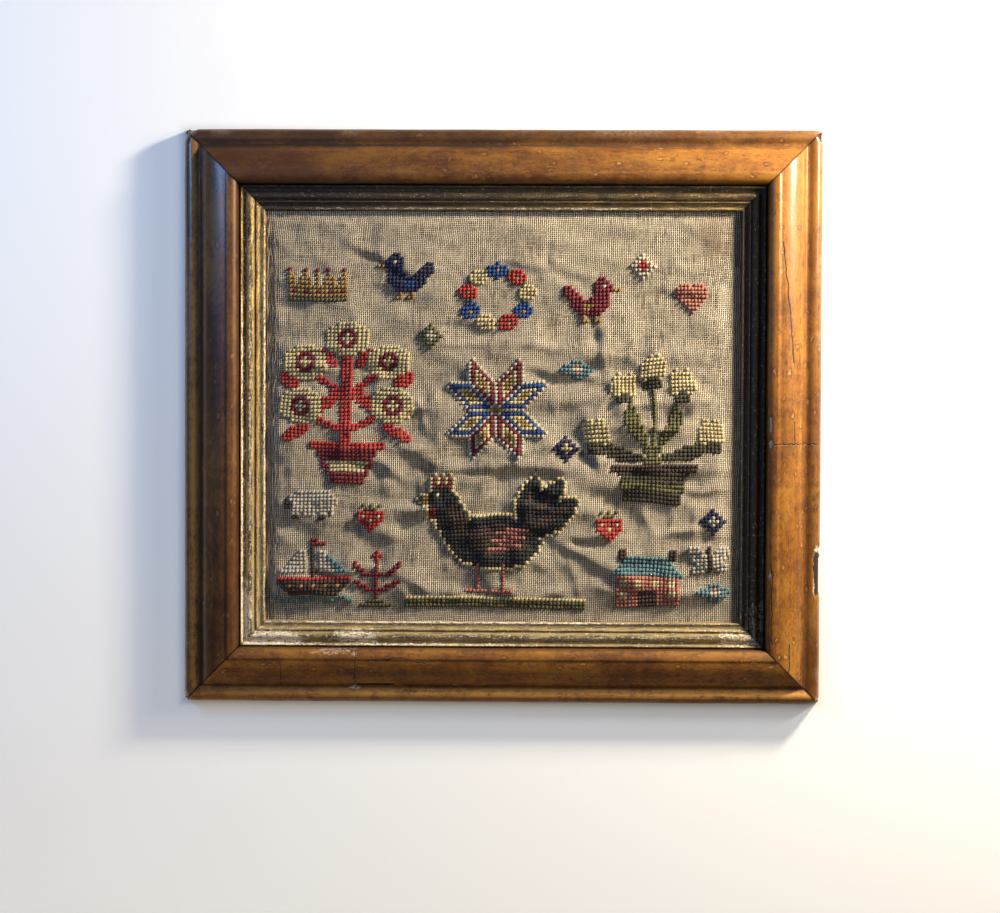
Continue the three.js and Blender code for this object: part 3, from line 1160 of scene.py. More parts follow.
    def small_motifs(self) -> None:
        """Work the small charts and the lozenges between the large motifs."""
        chart = self.chart
        chart.stamp(BOAT, 2, 4)
        chart.stamp(COTTAGE, 91, 4, fold=True)
        chart.stamp(LAMB, 5, 26)
        chart.stamp(DOVE, 28, 84)
        chart.stamp(DOVE, 77, 78, swap="nkum")
        chart.stamp(CROWN, 6, 84, fold=True)
        for lines, column, row in (
            (SPRIG, 23, 3),
            (STRAWBERRY, 24, 23),
            (STRAWBERRY, 87, 21),
            (BUTTERFLY, 111, 13),
            (DAISY, 113, 5),
            (DAISY, 77, 63),
            (HEART, 107, 80),
        ):
            chart.stamp(lines, column, row, fold=True)
        for column, row, inner, outer in (
            (43, 74, WoolShade.WHITE, WoolShade.OLIVE),
            (78, 45, WoolShade.CREAM, WoolShade.NAVY),
            (98, 92, WoolShade.SCARLET, WoolShade.WHITE),
            (117, 26, WoolShade.WHITE, WoolShade.NAVY),
        ):
            chart.lozenge(column, row, 3, outer)
            chart.lozenge(column, row, 1, inner)


@dataclass(frozen=True)
class Pucker:
    """A narrow trough in the cloth with a ridge on its left side, seen along the way it is turned.

    Attributes:
        x: Its middle, in millimetres.
        y: Its middle, in millimetres.
        length: How long it is.
        turn: Degrees from the horizontal.
        bow: How far its middle bows to the ridge's side.
        strength: How high and deep it is, 1 being full.
    """

    x: float
    y: float
    length: float
    turn: float
    bow: float
    strength: float

    def lift(self, x: np.ndarray, y: np.ndarray, width: float, ridge: float, trough: float) -> np.ndarray:
        """Lift the cloth by the ridge's bell beside the line, less the trough's bell on it.

        Both fade as a bell of the square of the share of its half length.
        """
        cos, sin = math.cos(math.radians(self.turn)), math.sin(math.radians(self.turn))
        share = 2 * ((x - self.x) * cos + (y - self.y) * sin) / self.length
        off = (y - self.y) * cos - (x - self.x) * sin - self.bow * (1 - share**2)
        height = ridge * bell(off - width, width) - trough * bell(off, 0.8 * width)
        return self.strength * height * bell(share**2, 1)


@dataclass
class Cloth:
    """The canvas: a closed sheet whose top side lies at its bottom side's height plus its thickness.

    Attributes:
        half: Half its cut width and height, in millimetres.
        window: Half the slip's window.
        bottom: The height of its underside where it is held flat.
        thickness: How thick it is.
        pitch: The distance from thread to thread.
        cell: The mesh's step.
        swell: How far its middle stands forward.
        clear: How far inside the slip it starts to rise.
        ease: Where it has risen in full.
        stitch: The size of one stitch of the chart.
        worked: How closely each cell's surroundings are stitched, from 0 to 1.
        puckers: The main creases, placed one by one.
    """

    half: tuple[float, float] = (171.3, 151.3)
    window: tuple[float, float] = (149.0, 129.0)
    bottom: float = 5.5
    thickness: float = 1.2
    pitch: float = 1.2
    cell: float = 1.5
    swell: float = 1.6
    clear: float = 2.0
    ease: float = 9.0
    stitch: float = 2.4
    worked: np.ndarray | None = None
    puckers: tuple[Pucker, ...] = (
        Pucker(-68, 95, 74, -21, -2, 0.7),
        Pucker(-122, 93, 28, -16, 0, 0.4),
        Pucker(14, 93, 24, -12, 0, 0.4),
        Pucker(46, 92, 36, -16, -3, 0.6),
        Pucker(108, 71, 58, -3, 3, 0.6),
        Pucker(-71, 18, 34, -5, 0, 0.7),
        Pucker(56, 50, 44, -82, 2, 0.5),
        Pucker(36, 21, 76, -9, 3, 0.8),
        Pucker(69, 4, 30, -62, 0, 0.9),
        Pucker(54, -20, 30, -84, 0, 0.9),
        Pucker(-56, -20, 38, -42, -4, 0.9),
        Pucker(8, -34, 104, -1, -2, 0.9),
        Pucker(-82, -36, 50, -18, 4, 1.0),
        Pucker(99, -33, 34, 8, 0, 0.6),
        Pucker(78, -58, 26, -45, 0, 0.7),
        Pucker(-68, -66, 74, 9, -2, 1.0),
        Pucker(-16, -73, 40, 2, 2, 0.9),
        Pucker(27, -71, 38, 0, -2, 1.0),
        Pucker(-74, -82, 32, -2, 0, 0.7),
        Pucker(58, -79, 28, -6, 0, 0.9),
        Pucker(132, -80, 28, 8, 0, 0.6),
        Pucker(92, -91, 30, 0, 0, 0.6),
        Pucker(70, -98, 80, -25, -2, 1.0),
        Pucker(-34, -113, 78, -22, -6, 0.9),
        Pucker(-116, -113, 52, 6, 4, 0.6),
        Pucker(18, -118, 48, 2, 0, 0.8),
        Pucker(104, -117, 42, -18, 0, 0.6),
    )

    def take_work(self, filled: np.ndarray) -> None:
        """Learn where the wool lies, as the mean of each cell's 3 by 3 neighbours, taken twice over."""
        spread = filled.astype(float)
        for _ in range(2):
            rows = np.pad(spread, ((1, 1), (0, 0)))
            spread = (rows[:-2] + rows[1:-1] + rows[2:]) / 3
            columns = np.pad(spread, ((0, 0), (1, 1)))
            spread = (columns[:, :-2] + columns[:, 1:-1] + columns[:, 2:]) / 3
        self.worked = spread

    def lift(self, x: np.ndarray, y: np.ndarray) -> np.ndarray:
        """Height above the plane in which the edges are held, in millimetres.

        It is the swell, the puckers bent and made uneven by noise, three gentle waves, a crumple of noise in
        two sizes with ridges both ways where a noise crosses 0, and a rise under the wool. All is eased in
        from the slip, more slowly at the bottom and the right, and kept above 0 by log(1 + exp(k rise)) / k.

        Args:
            x: Places across.
            y: Places up.

        Returns:
            The rise at each place.
        """
        level = np.minimum(self.window[0] + x, 0.6 * (self.window[0] - x))
        inside = np.minimum(level, np.minimum(self.window[1] - y, 0.4 * (self.window[1] + y)))
        bent_x = x + 5.0 * lattice_noise(x / 21, y / 19, 14)
        bent_y = y + 4.0 * lattice_noise(x / 17, y / 23, 15)
        folds = sum(pucker.lift(bent_x, bent_y, 4.6, 2.3, 1.7) for pucker in self.puckers)
        rise = self.swell + folds * (0.85 + 0.5 * lattice_noise(x / 13, y / 11, 16))
        across, up = x / (2 * self.window[0]), y / (2 * self.window[1])
        waves = ((0.28, 4.9, 0, 0.6), (0.24, 0, 5.5, 1.9), (0.2, 3.6, 3.6, 4.1))
        for height, waves_across, waves_up, shift in waves:
            rise = rise + height * np.sin(TURN * (waves_across * across + waves_up * up) + shift)
        rough = 0.5 + 0.6 * smoothstep(-y, -85, -25)
        rise = rise + rough * 1.9 * lattice_noise(x / 19 + 3, y / 10 + 5, 11)
        rise = rise + rough * 1.9 * bell(lattice_noise(bent_x / 27, bent_y / 13, 13), 0.4)
        rise = rise + rough * 0.9 * bell(lattice_noise(bent_y / 21, bent_x / 14, 17), 0.34)
        rise = rise + 0.45 * lattice_noise(bent_x / 9, bent_y / 5.5, 12)
        if self.worked is not None:
            rows, columns = self.worked.shape
            place = x / self.stitch + (columns - 1) / 2, y / self.stitch + (rows - 1) / 2
            rise = rise + 0.8 * read_table(self.worked, *place)
        firm = 1.6
        return smoothstep(inside, self.clear, self.ease) * np.logaddexp(0, firm * rise) / firm

    def top(self, x: np.ndarray, y: np.ndarray) -> np.ndarray:
        """Height of the cloth's face above the floor, in millimetres."""
        return self.bottom + self.thickness + self.lift(x, y)

    def drift(self, x: np.ndarray, y: np.ndarray) -> tuple[np.ndarray, np.ndarray]:
        """How far the threads wander from straight at a place: smooth noise of two sizes, in millimetres."""
        across = 1.5 * lattice_noise(x / 34, y / 26, 21) + 0.4 * lattice_noise(x / 9, y / 13, 22)
        up = 1.6 * lattice_noise(x / 38, y / 24, 23) + 0.45 * lattice_noise(x / 12, y / 8, 24)
        return across, up

    def soil(self, x: np.ndarray, y: np.ndarray) -> np.ndarray:
        """How stained the cloth is: bells where the brown stains lie, and a little all along its edge."""
        stains = (
            (134, 112, 16, 22, 0.7),
            (96, 104, 40, 20, 0.3),
            (136, 40, 14, 46, 0.3),
            (20, 104, 60, 14, 0.2),
            (-20, -112, 70, 14, 0.25),
            (120, -108, 40, 16, 0.25),
            (-130, -60, 14, 60, 0.2),
        )
        stained = sum(
            strength * np.exp(-(((x - middle_x) / wide) ** 2) - ((y - middle_y) / high) ** 2)
            for middle_x, middle_y, wide, high, strength in stains
        )
        inside = np.minimum(self.window[0] - abs(x), self.window[1] - abs(y))
        return stained + 0.25 * smoothstep(-inside, -9, 0)

    def build(self) -> Piece:
        """Build the sheet: one grid below and above, with four walls. Its plan map is in threads."""
        counts = [2 * round(reach / self.cell) + 1 for reach in self.half]
        x, y = np.meshgrid(*(np.linspace(-reach, reach, n) for reach, n in zip(self.half, counts)))
        lift = self.lift(x, y)
        layers = [
            np.stack([x, y, self.bottom + lift + rise], axis=-1).reshape(-1, 3)
            for rise in (0, self.thickness)
        ]
        columns, rows = counts
        size = columns * rows
        quads = [grid_quads(rows, columns, flip=True), grid_quads(rows, columns, first=size)]
        place = np.arange(size).reshape(rows, columns)
        rims = (place[0], place[:, -1], place[-1, ::-1], place[::-1, 0])
        for rim in rims:
            quads.append(np.stack([rim[:-1], rim[1:], rim[1:] + size, rim[:-1] + size], axis=1))
        across, up = self.drift(x, y)
        plan = np.stack([(x + across) / self.pitch, (y + up) / self.pitch], axis=-1).reshape(-1, 2)
        return Piece(
            "cloth",
            np.concatenate(layers),
            np.concatenate(quads),
            np.concatenate([plan, plan]),
            {"soil": np.tile(self.soil(x, y).ravel(), 2)},
        )


@dataclass
class Leg:
    """One leg of a stitch: a bent yarn that dips into the cloth at both ends.

    Attributes:
        reach: Half its length, in stitches.
        arch: How high its middle stands, in millimetres.
        half_width: Half the yarn's width.
        half_height: Half its thickness.
        segments: Steps along it.
    """

    reach: float
    arch: float
    half_width: float
    half_height: float
    segments: int

    def build(self) -> tuple[np.ndarray, np.ndarray, np.ndarray]:
        """Work out the leg along +X.

        Its centre line is (s reach, 0, arch (1 - |s|^2.6) - 0.55 |s|^6) for s from -1 to 1. Its section is an
        ellipse that shrinks by 0.45 s^4 towards the ends.

        Returns:
            Its points, its quads and its plan map.
        """
        share = np.linspace(-1, 1, self.segments + 1)[:, None]
        angle = ((np.arange(RING) + 0.5) / RING * TURN)[None, :]
        shrink = 1 - 0.45 * share**4
        height = self.arch * (1 - abs(share) ** 2.6) - 0.55 * abs(share) ** 6
        points = np.stack(
            [
                share * self.reach + 0 * angle,
                self.half_width * shrink * np.cos(angle),
                height + self.half_height * shrink * np.sin(angle),
            ],
            axis=-1,
        ).reshape(-1, 3)
        plan = np.stack([(share + 1) / 2 + 0 * angle, angle / TURN + 0 * share], axis=-1).reshape(-1, 2)
        return points, tube_quads(self.segments + 1), plan


@dataclass
class Stitching:
    """The wool: one joined piece a colour, two crossed legs a stitch.

    Attributes:
        cloth: What it is worked on.
        threads: How many threads a stitch spans.
    """

    cloth: Cloth
    threads: int = 2

    def __post_init__(self) -> None:
        """Work out a stitch's size and make its two legs."""
        self.size = self.cloth.pitch * self.threads
        diagonal = self.size * math.sqrt(2) / 2
        self.legs = (
            (Leg(diagonal, 0.42, 0.74, 0.4, 3), -45),
            (Leg(diagonal * 1.04, 0.88, 0.78, 0.46, 4), 45),
        )

    def places(self, rows: np.ndarray, columns: np.ndarray, chart: Chart) -> tuple[np.ndarray, np.ndarray]:
        """Find each stitch's middle, moved against the threads' drift so that it sits on its own threads."""
        x = (columns - (chart.columns - 1) / 2) * self.size
        y = (rows - (chart.rows - 1) / 2) * self.size
        across, up = self.cloth.drift(x, y)
        return x - across, y - up

    def build(self, wool: WoolShade, chart: Chart) -> Piece | None:
        """Build all of one wool's stitches.

        Each point is the stitch's middle, plus the leg's point turned and shifted a little at random, at the
        height of the cloth's face there plus the leg's own height.

        Args:
            wool: Which wool.
            chart: The design.

        Returns:
            The joined piece, or nothing where the chart has no stitch of it.
        """
        rows, columns = np.nonzero(chart.cells == list(WoolShade).index(wool) + 1)
        if not len(rows):
            return None
        chance = np.random.default_rng(ord(wool.letter))
        middle_x, middle_y = self.places(rows, columns, chart)
        count = len(rows)
        points, quads, plans, shades = [], [], [], []
        first = 0
        shade = np.clip(chance.normal(0.55, 0.2, count), 0, 1)
        plump = chance.normal(1, 0.1, count)[:, None]
        for leg, turn in self.legs:
            shape, faces, plan = leg.build()
            angle = np.radians(turn + chance.normal(0, 5, count))[:, None]
            local_x = shape[:, 0] * np.cos(angle) - shape[:, 1] * plump * np.sin(angle)
            local_y = shape[:, 0] * np.sin(angle) + shape[:, 1] * plump * np.cos(angle)
            x = middle_x[:, None] + local_x + chance.normal(0, 0.07, (count, 1))
            y = middle_y[:, None] + local_y + chance.normal(0, 0.07, (count, 1))
            z = self.cloth.top(x, y) + shape[:, 2] * plump
            points.append(np.stack([x, y, z], axis=-1).reshape(-1, 3))
            steps = first + np.arange(count)[:, None, None] * len(shape)
            quads.append((faces[None] + steps).reshape(-1, 4))
            plans.append(np.tile(plan, (count, 1)))
            shades.append(np.repeat(shade, len(shape)))
            first += count * len(shape)
        return Piece(
            f"wool_{wool.name.lower()}",
            np.concatenate(points),
            np.concatenate(quads),
            np.concatenate(plans),
            {"shade": np.concatenate(shades)},
        )


@dataclass
class LooseThreads:
    """Frayed ends that lie along the canvas's left edge: thin round tubes on wavy lines.

    Attributes:
        cloth: What they lie on.
        radius: Half a thread's thickness, in millimetres.
        rings: How many rings of points a thread has.
        count: How many threads there are.
        seed: What their chance starts from.
    """

    cloth: Cloth
    radius: float = 0.26
    rings: int = 34
    count: int = 60
    seed: int = 5

    def build(self) -> Piece:
        """Build them: each runs down from its own start, with x swayed by noise of two sizes."""
        chance = np.random.default_rng(self.seed)
        count = self.count
        share = np.linspace(0, 1, self.rings)[None, :]
        first_x, least_x, reach_y = -148.2, -148.4, 127
        start_x = first_x + 6 * chance.uniform(0, 1, (count, 1)) ** 1.5
        start_y = chance.uniform(-110, reach_y, (count, 1))
        length = chance.uniform(16, 60, (count, 1))
        y = np.clip(start_y - share * length, -reach_y, reach_y)
        strand = np.arange(count)[:, None] * 7.3
        sway = 0.9 * lattice_noise(y / 9, strand + 0 * y, 51) + 0.3 * lattice_noise(y / 3, strand + 0 * y, 52)
        x = np.maximum(start_x + sway, least_x)
        z = self.cloth.top(x, y) + self.radius * 0.9 + 0.3 * abs(np.sin(share * length / 6 + start_x))
        line = np.stack([x, y, z], axis=-1)
        angle = np.arange(RING) / RING * TURN
        across = np.stack([np.cos(angle), 0 * angle, np.sin(angle)], axis=-1)
        ends = np.clip(np.minimum(share, 1 - share) * 30, 0.12, 1)[..., None, None]
        points = line[:, :, None, :] + self.radius * ends * across
        first = np.arange(count)[:, None, None] * self.rings * RING
        quads = (tube_quads(self.rings)[None] + first).reshape(-1, 4)
        plan = np.stack([share + 0 * angle[:, None], (angle / TURN)[:, None] + 0 * share], axis=-1)
        plan = np.tile(plan.transpose(1, 0, 2).reshape(-1, 2) * (8, 1), (count, 1))
        return Piece("loose_threads", points.reshape(-1, 3), quads, plan, {"shade": np.full(len(plan), 0.7)})


@dataclass(frozen=True)
class Scar:
    """Damage to a rail or slip, as a patch in millimetres along it and inwards from its outer edge.

    Attributes:
        along: Its middle along the rail, to the right of the way in from outside.
        inwards: Its middle across the rail.
        reach: Its half length and half width.
        depth: How far the surface is lost, in millimetres on a rail and as a share on a slip.
        mark: What shows in it, by the name of the material's mark.
        share: How fully that shows on a rail.
    """

    along: float
    inwards: float
    reach: tuple[float, float]
    depth: float
    mark: str
    share: float = 1.0


@dataclass
class Moulding:
    """Four mitred lengths of one section.

    A point of a length is (t (half length - u - ease), u - half span, z) for t from -1 to 1 and each (u, z)
    of the section, and a quarter turn takes it on to the next side.

    Attributes:
        half: Half the outer width and height, in millimetres.
        step: The mesh's step along a length.
        ease: How far each mitred end is drawn back.
        scars: The damage of each side.
        cracks: The cracks and holes of each side.
    """

    half: tuple[float, float]
    step: float = 2.0
    ease: float = 0.22
    scars: dict[Side, tuple[Scar, ...]] = field(default_factory=dict)
    cracks: dict[Side, tuple[Crack, ...]] = field(default_factory=dict)

    def face(self) -> np.ndarray:
        """The section's face, from its outer foot to its inner one."""
        raise NotImplementedError

    def back(self, inwards: np.ndarray) -> np.ndarray:
        """The height of the section's back under each point of its face."""
        raise NotImplementedError

    def wear(self, side: Side, along: np.ndarray, face: np.ndarray) -> Wear:
        """How far the face is worn back at each point of one length, and its marks."""
        raise NotImplementedError

    def unroll(self, inwards: float) -> float:
        """Turn millimetres in from the outer edge into millimetres round the section."""
        face = self.face()
        run = np.concatenate([[0], np.cumsum(np.hypot(*np.diff(face, axis=0).T))])
        return float(np.interp(inwards, face[:, 0], run))

    def lines(self, side: Side) -> tuple[Crack, ...]:
        """Give one side's cracks in millimetres along it and round its section."""
        return tuple(
            Crack(
                (crack.start[0], self.unroll(crack.start[1])),
                (crack.end[0], self.unroll(crack.end[1])),
                crack.width,
            )
            for crack in self.cracks.get(side, ())
        )

    def build(self, side: Side, name: str) -> Piece:
        """Build one side: its face and back as one closed skin, and a strip of quads over each mitred end."""
        face = self.face()
        turned = side.value % 2
        half_length, half_span = (self.half[turned], self.half[1 - turned])
        steps = round(2 * half_length / self.step)
        share = np.linspace(-1, 1, steps + 1)[:, None]
        along = share * (half_length - face[None, :, 0] - self.ease)
        depth, marks = self.wear(side, along, face)
        slope = np.gradient(face, axis=0)
        normal = np.stack([-slope[:, 1], slope[:, 0]], axis=1) / np.hypot(*slope.T)[:, None]
        inwards = face[None, :, 0] - depth * normal[None, :, 0]
        height = face[None, :, 1] - depth * normal[None, :, 1]
        count = len(face)
        back_along = along[:, ::-1]
        back_in = np.broadcast_to(face[::-1, 0], back_along.shape)
        back_height = np.broadcast_to(self.back(face[:, 0])[::-1], back_along.shape)
        x = np.concatenate([along, back_along], axis=1)
        y = np.concatenate([inwards, back_in], axis=1) - half_span
        z = np.concatenate([height, back_height], axis=1)
        angle = side.value * math.pi / 2
        cos, sin = math.cos(angle), math.sin(angle)
        points = np.stack([x * cos - y * sin, x * sin + y * cos, z], axis=-1)
        around = 2 * count
        ring = np.arange(around)
        start = (np.arange(steps) * around)[:, None]
        near, far = start + ring, start + (ring + 1) % around
        skin = np.stack([near, near + around, far + around, far], axis=-1).reshape(-1, 4)
        strip = np.arange(count - 1)
        cap = np.stack([strip, strip + 1, around - 2 - strip, around - 1 - strip], axis=1)
        quads = np.concatenate([skin, cap, cap[:, ::-1] + steps * around])
        run = np.concatenate([[0], np.cumsum(np.hypot(*np.diff(face, axis=0).T))])
        back_shift = 40
        girth = np.concatenate([run, run[-1] + back_shift - run[::-1]])
        plan = np.stack([x, np.broadcast_to(girth, x.shape)], axis=-1).reshape(-1, 2)
        blank = np.zeros_like(along)
        full = {
            label: np.concatenate([value + blank, blank], axis=1).ravel() for label, value in marks.items()
        }
        rim = np.zeros(x.shape, dtype=bool)
        rim[[0, -1]] = True
        return Piece(name, points.reshape(-1, 3), quads, plan, full, rim.ravel())


@dataclass
class MapleRails(Moulding):
    """The maple moulding: a flat side, an outer bead, a valley, a broad cushion and its rolled lip.

    Attributes:
        width: How wide its face is, in millimetres.
        side_height: How high its outer side is.
        crest: Where its highest line lies, inwards and up.
        rebate: Where the rebate's corner lies, inwards and up.
        varnish: How each side's varnish has aged, with its painted shade and painted light.
    """

    width: float = 35.0
    side_height: float = 9.0
    crest: tuple[float, float] = (29.0, 22.0)
    rebate: tuple[float, float] = (28.0, 11.0)
    varnish: dict[Side, VarnishAndShade] = field(default_factory=dict)

    def face(self) -> np.ndarray:
        """The bead, valley, cushion and lip as arcs, spaced evenly and softened where they meet."""
        crest_in, crest_up = self.crest
        points = np.concatenate(
            [
                [(0.0, 0.0), (0.0, self.side_height - 1)],
                arc((5.5, self.side_height), 5.5, 5.2, (175, 40), 14),
                [(10.5, 12.15)],
                arc((crest_in, crest_up - 19.2), 21.25, 19.2, (150, 92), 22),
                arc((crest_in, crest_up - 4.5), self.width - crest_in, 4.5, (88, 0), 12),
                [(self.width, self.rebate[1] + 0.6), (self.width, self.rebate[1])],
            ]
        )
        even = soften(resample(points, 62), 4)
        step = np.searchsorted(even[:, 0], self.rebate[0])
        even[step - 1, 0] = self.rebate[0] - 0.02
        even[step, 0] = self.rebate[0] + 0.02
        return even

    def back(self, inwards: np.ndarray) -> np.ndarray:
        """The back is flat on the floor, and steps up to the rebate's ceiling."""
        return np.where(inwards < self.rebate[0], 0.0, self.rebate[1])

    def wear(self, side: Side, along: np.ndarray, face: np.ndarray) -> Wear:
        """Wear a rail: slow waves, rubbed edges near the mitres, and its scars."""
        inwards = np.broadcast_to(face[None, :, 0], along.shape)
        height = np.broadcast_to(face[None, :, 1], along.shape)
        depth = 0.1 * (1 + lattice_noise(along / 21, inwards / 9 + 50 * side.value, 31))
        marks = {label: np.zeros_like(along) for label in ("worn", "lost", "chalk")}
        end = abs(along) - abs(along).max(axis=0, keepdims=True)
        marks["seam"] = smoothstep(end, -2.6, 0)
        corner = smoothstep(end, -6, -1) * smoothstep(-inwards, -5, -1)
        blunt = smoothstep(end, -5, 0) ** 2 * smoothstep(-inwards, -3, 0)
        marks["worn"] += 0.5 * corner * (0.5 + 0.5 * lattice_noise(along / 3, inwards / 3, 32))
        rim = bell(inwards - 2.2, 2.6) * smoothstep(height, 6, 12)
        uneven = smoothstep(lattice_noise(along / 16, inwards / 8 + side.value, 33), 0.1, 0.8)
        marks["worn"] += 0.55 * rim * uneven
        depth += 0.3 * corner + 1.9 * blunt
        for scar in self.scars.get(side, ()):
            off = np.hypot((along - scar.along) / scar.reach[0], (inwards - scar.inwards) / scar.reach[1])
            off = off + 0.3 * lattice_noise(along / 2.4, inwards / 1.6, 34)
            patch = smoothstep(-off, -1.05, -0.8)
            depth = depth + scar.depth * patch
            marks[scar.mark] = np.maximum(marks[scar.mark], patch * scar.share)
        held = smoothstep(height, -1, 2) * smoothstep(self.width - inwards + (height - self.rebate[1]), 0, 2)
        return depth * held, marks

    def dress(self, side: Side) -> bpy.types.Material:
        """Make one side's maple, with grime in the valley, and darker from the lip's edge down its inner
        side.
        """
        valley, sight = self.unroll(10.6), self.unroll(self.width - 0.4)
        name = f"maple_{side.name.lower()}"
        return Maple().dress(name, valley, sight, self.varnish[side], self.lines(side))


@dataclass
class GiltSlips(Moulding):
    """The gilt slip: a flange under the rails' lip, then four reeds, with quirks between, that step down.

    Attributes:
        floor: The height of its back.
        flange: How far it reaches under the rails.
        flange_top: The flange's height.
        reeds: Each reed's start, width and crest height, in millimetres.
        quirks: The height of the hollow before each reed, and of the last foot.
        ageing_and_shade: How dark each side is made at its two ends, partly grime and partly painted shade,
            and how far
        it is rubbed pale there.
    """

    floor: float = 7.0
    flange: float = 6.7
    flange_top: float = 10.7
    reeds: tuple[tuple[float, float, float], ...] = (
        (0.4, 1.9, 14.4),
        (4.4, 5.0, 14.0),
        (10.1, 1.5, 12.2),
        (14.3, 1.6, 10.6),
    )
    quirks: tuple[float, ...] = (12.2, 12.2, 11.3, 9.8, 9.0)
    ageing_and_shade: dict[Side, tuple[tuple[float, float], tuple[float, float]]] = field(default_factory=dict)

    def face(self) -> np.ndarray:
        """The flange and the reeds. Each hollow is a quirk's floor between two reeds."""
        parts = [[(-self.flange, self.floor + 0.2), (-self.flange, self.flange_top), (0.3, self.flange_top)]]
        for place, (start, width, crest) in enumerate(self.reeds):
            base = self.quirks[place]
            foot = self.quirks[place + 1]
            if place:
                before = self.reeds[place - 1]
                gap = start - before[0] - before[1]
                parts.append([(start - gap * share, base) for share in (0.75, 0.25)])
            parts.append(arc((start + width / 2, base), width / 2, crest - base, (170, 90), 5))
            parts.append(arc((start + width / 2, foot), width / 2, crest - foot, (80, 10), 5))
        parts.append([(16.0, self.quirks[-1]), (16.0, self.floor + 0.2)])
        return resample(np.concatenate(parts), 66)

    def back(self, inwards: np.ndarray) -> np.ndarray:
        """The back is flat."""
        return np.full_like(inwards, self.floor)

    def wear(self, side: Side, along: np.ndarray, face: np.ndarray) -> Wear:
        """Wear a slip: waves of the hand, chips on the reeds' crests, and whole patches of lost gesso."""
        inwards = np.broadcast_to(face[None, :, 0], along.shape)
        height = np.broadcast_to(face[None, :, 1], along.shape)
        crest = np.zeros_like(along)
        for start, width, top in self.reeds:
            inside = abs(inwards - start - width / 2) < width / 2 + 0.2
            crest = np.maximum(crest, inside * smoothstep(height, top - 0.8, top - 0.05))
        hollow = (inwards > 0) * (1 - crest) * smoothstep(-abs(inwards - 3.3), -1.6, -0.6)
        hollow = np.maximum(hollow, 0.45 * (inwards > 0) * smoothstep(-abs(inwards - 13), -1.5, -0.6))
        hollow = np.maximum(hollow, (inwards > 0) * smoothstep(-abs(inwards - 9.8), -0.6, -0.2))
        ragged = 0.3 * lattice_noise(along / 3.7, inwards / 1.6 + 40 * side.value, 41)
        broken = np.zeros_like(along)
        for scar in self.scars.get(side, ()):
            off = np.hypot((along - scar.along) / scar.reach[0], (inwards - scar.inwards) / scar.reach[1])
            broken = np.maximum(broken, scar.depth * smoothstep(-off - ragged, -1.3, -0.5))
        shown = smoothstep(inwards, 0.3, 0.8) * smoothstep(height, self.floor + 0.6, self.floor + 1.6)
        uneven = lattice_noise(along / 2.3, inwards / 1.4 + 9 * side.value, 43)
        depth = 0.07 * (1 + lattice_noise(along / 9, inwards / 4 + 9 * side.value, 42))
        depth = depth + (0.05 + 0.16 * broken) * (1 + uneven)
        return depth * shown, {"crest": crest, "hollow": hollow, "broken": broken * shown}


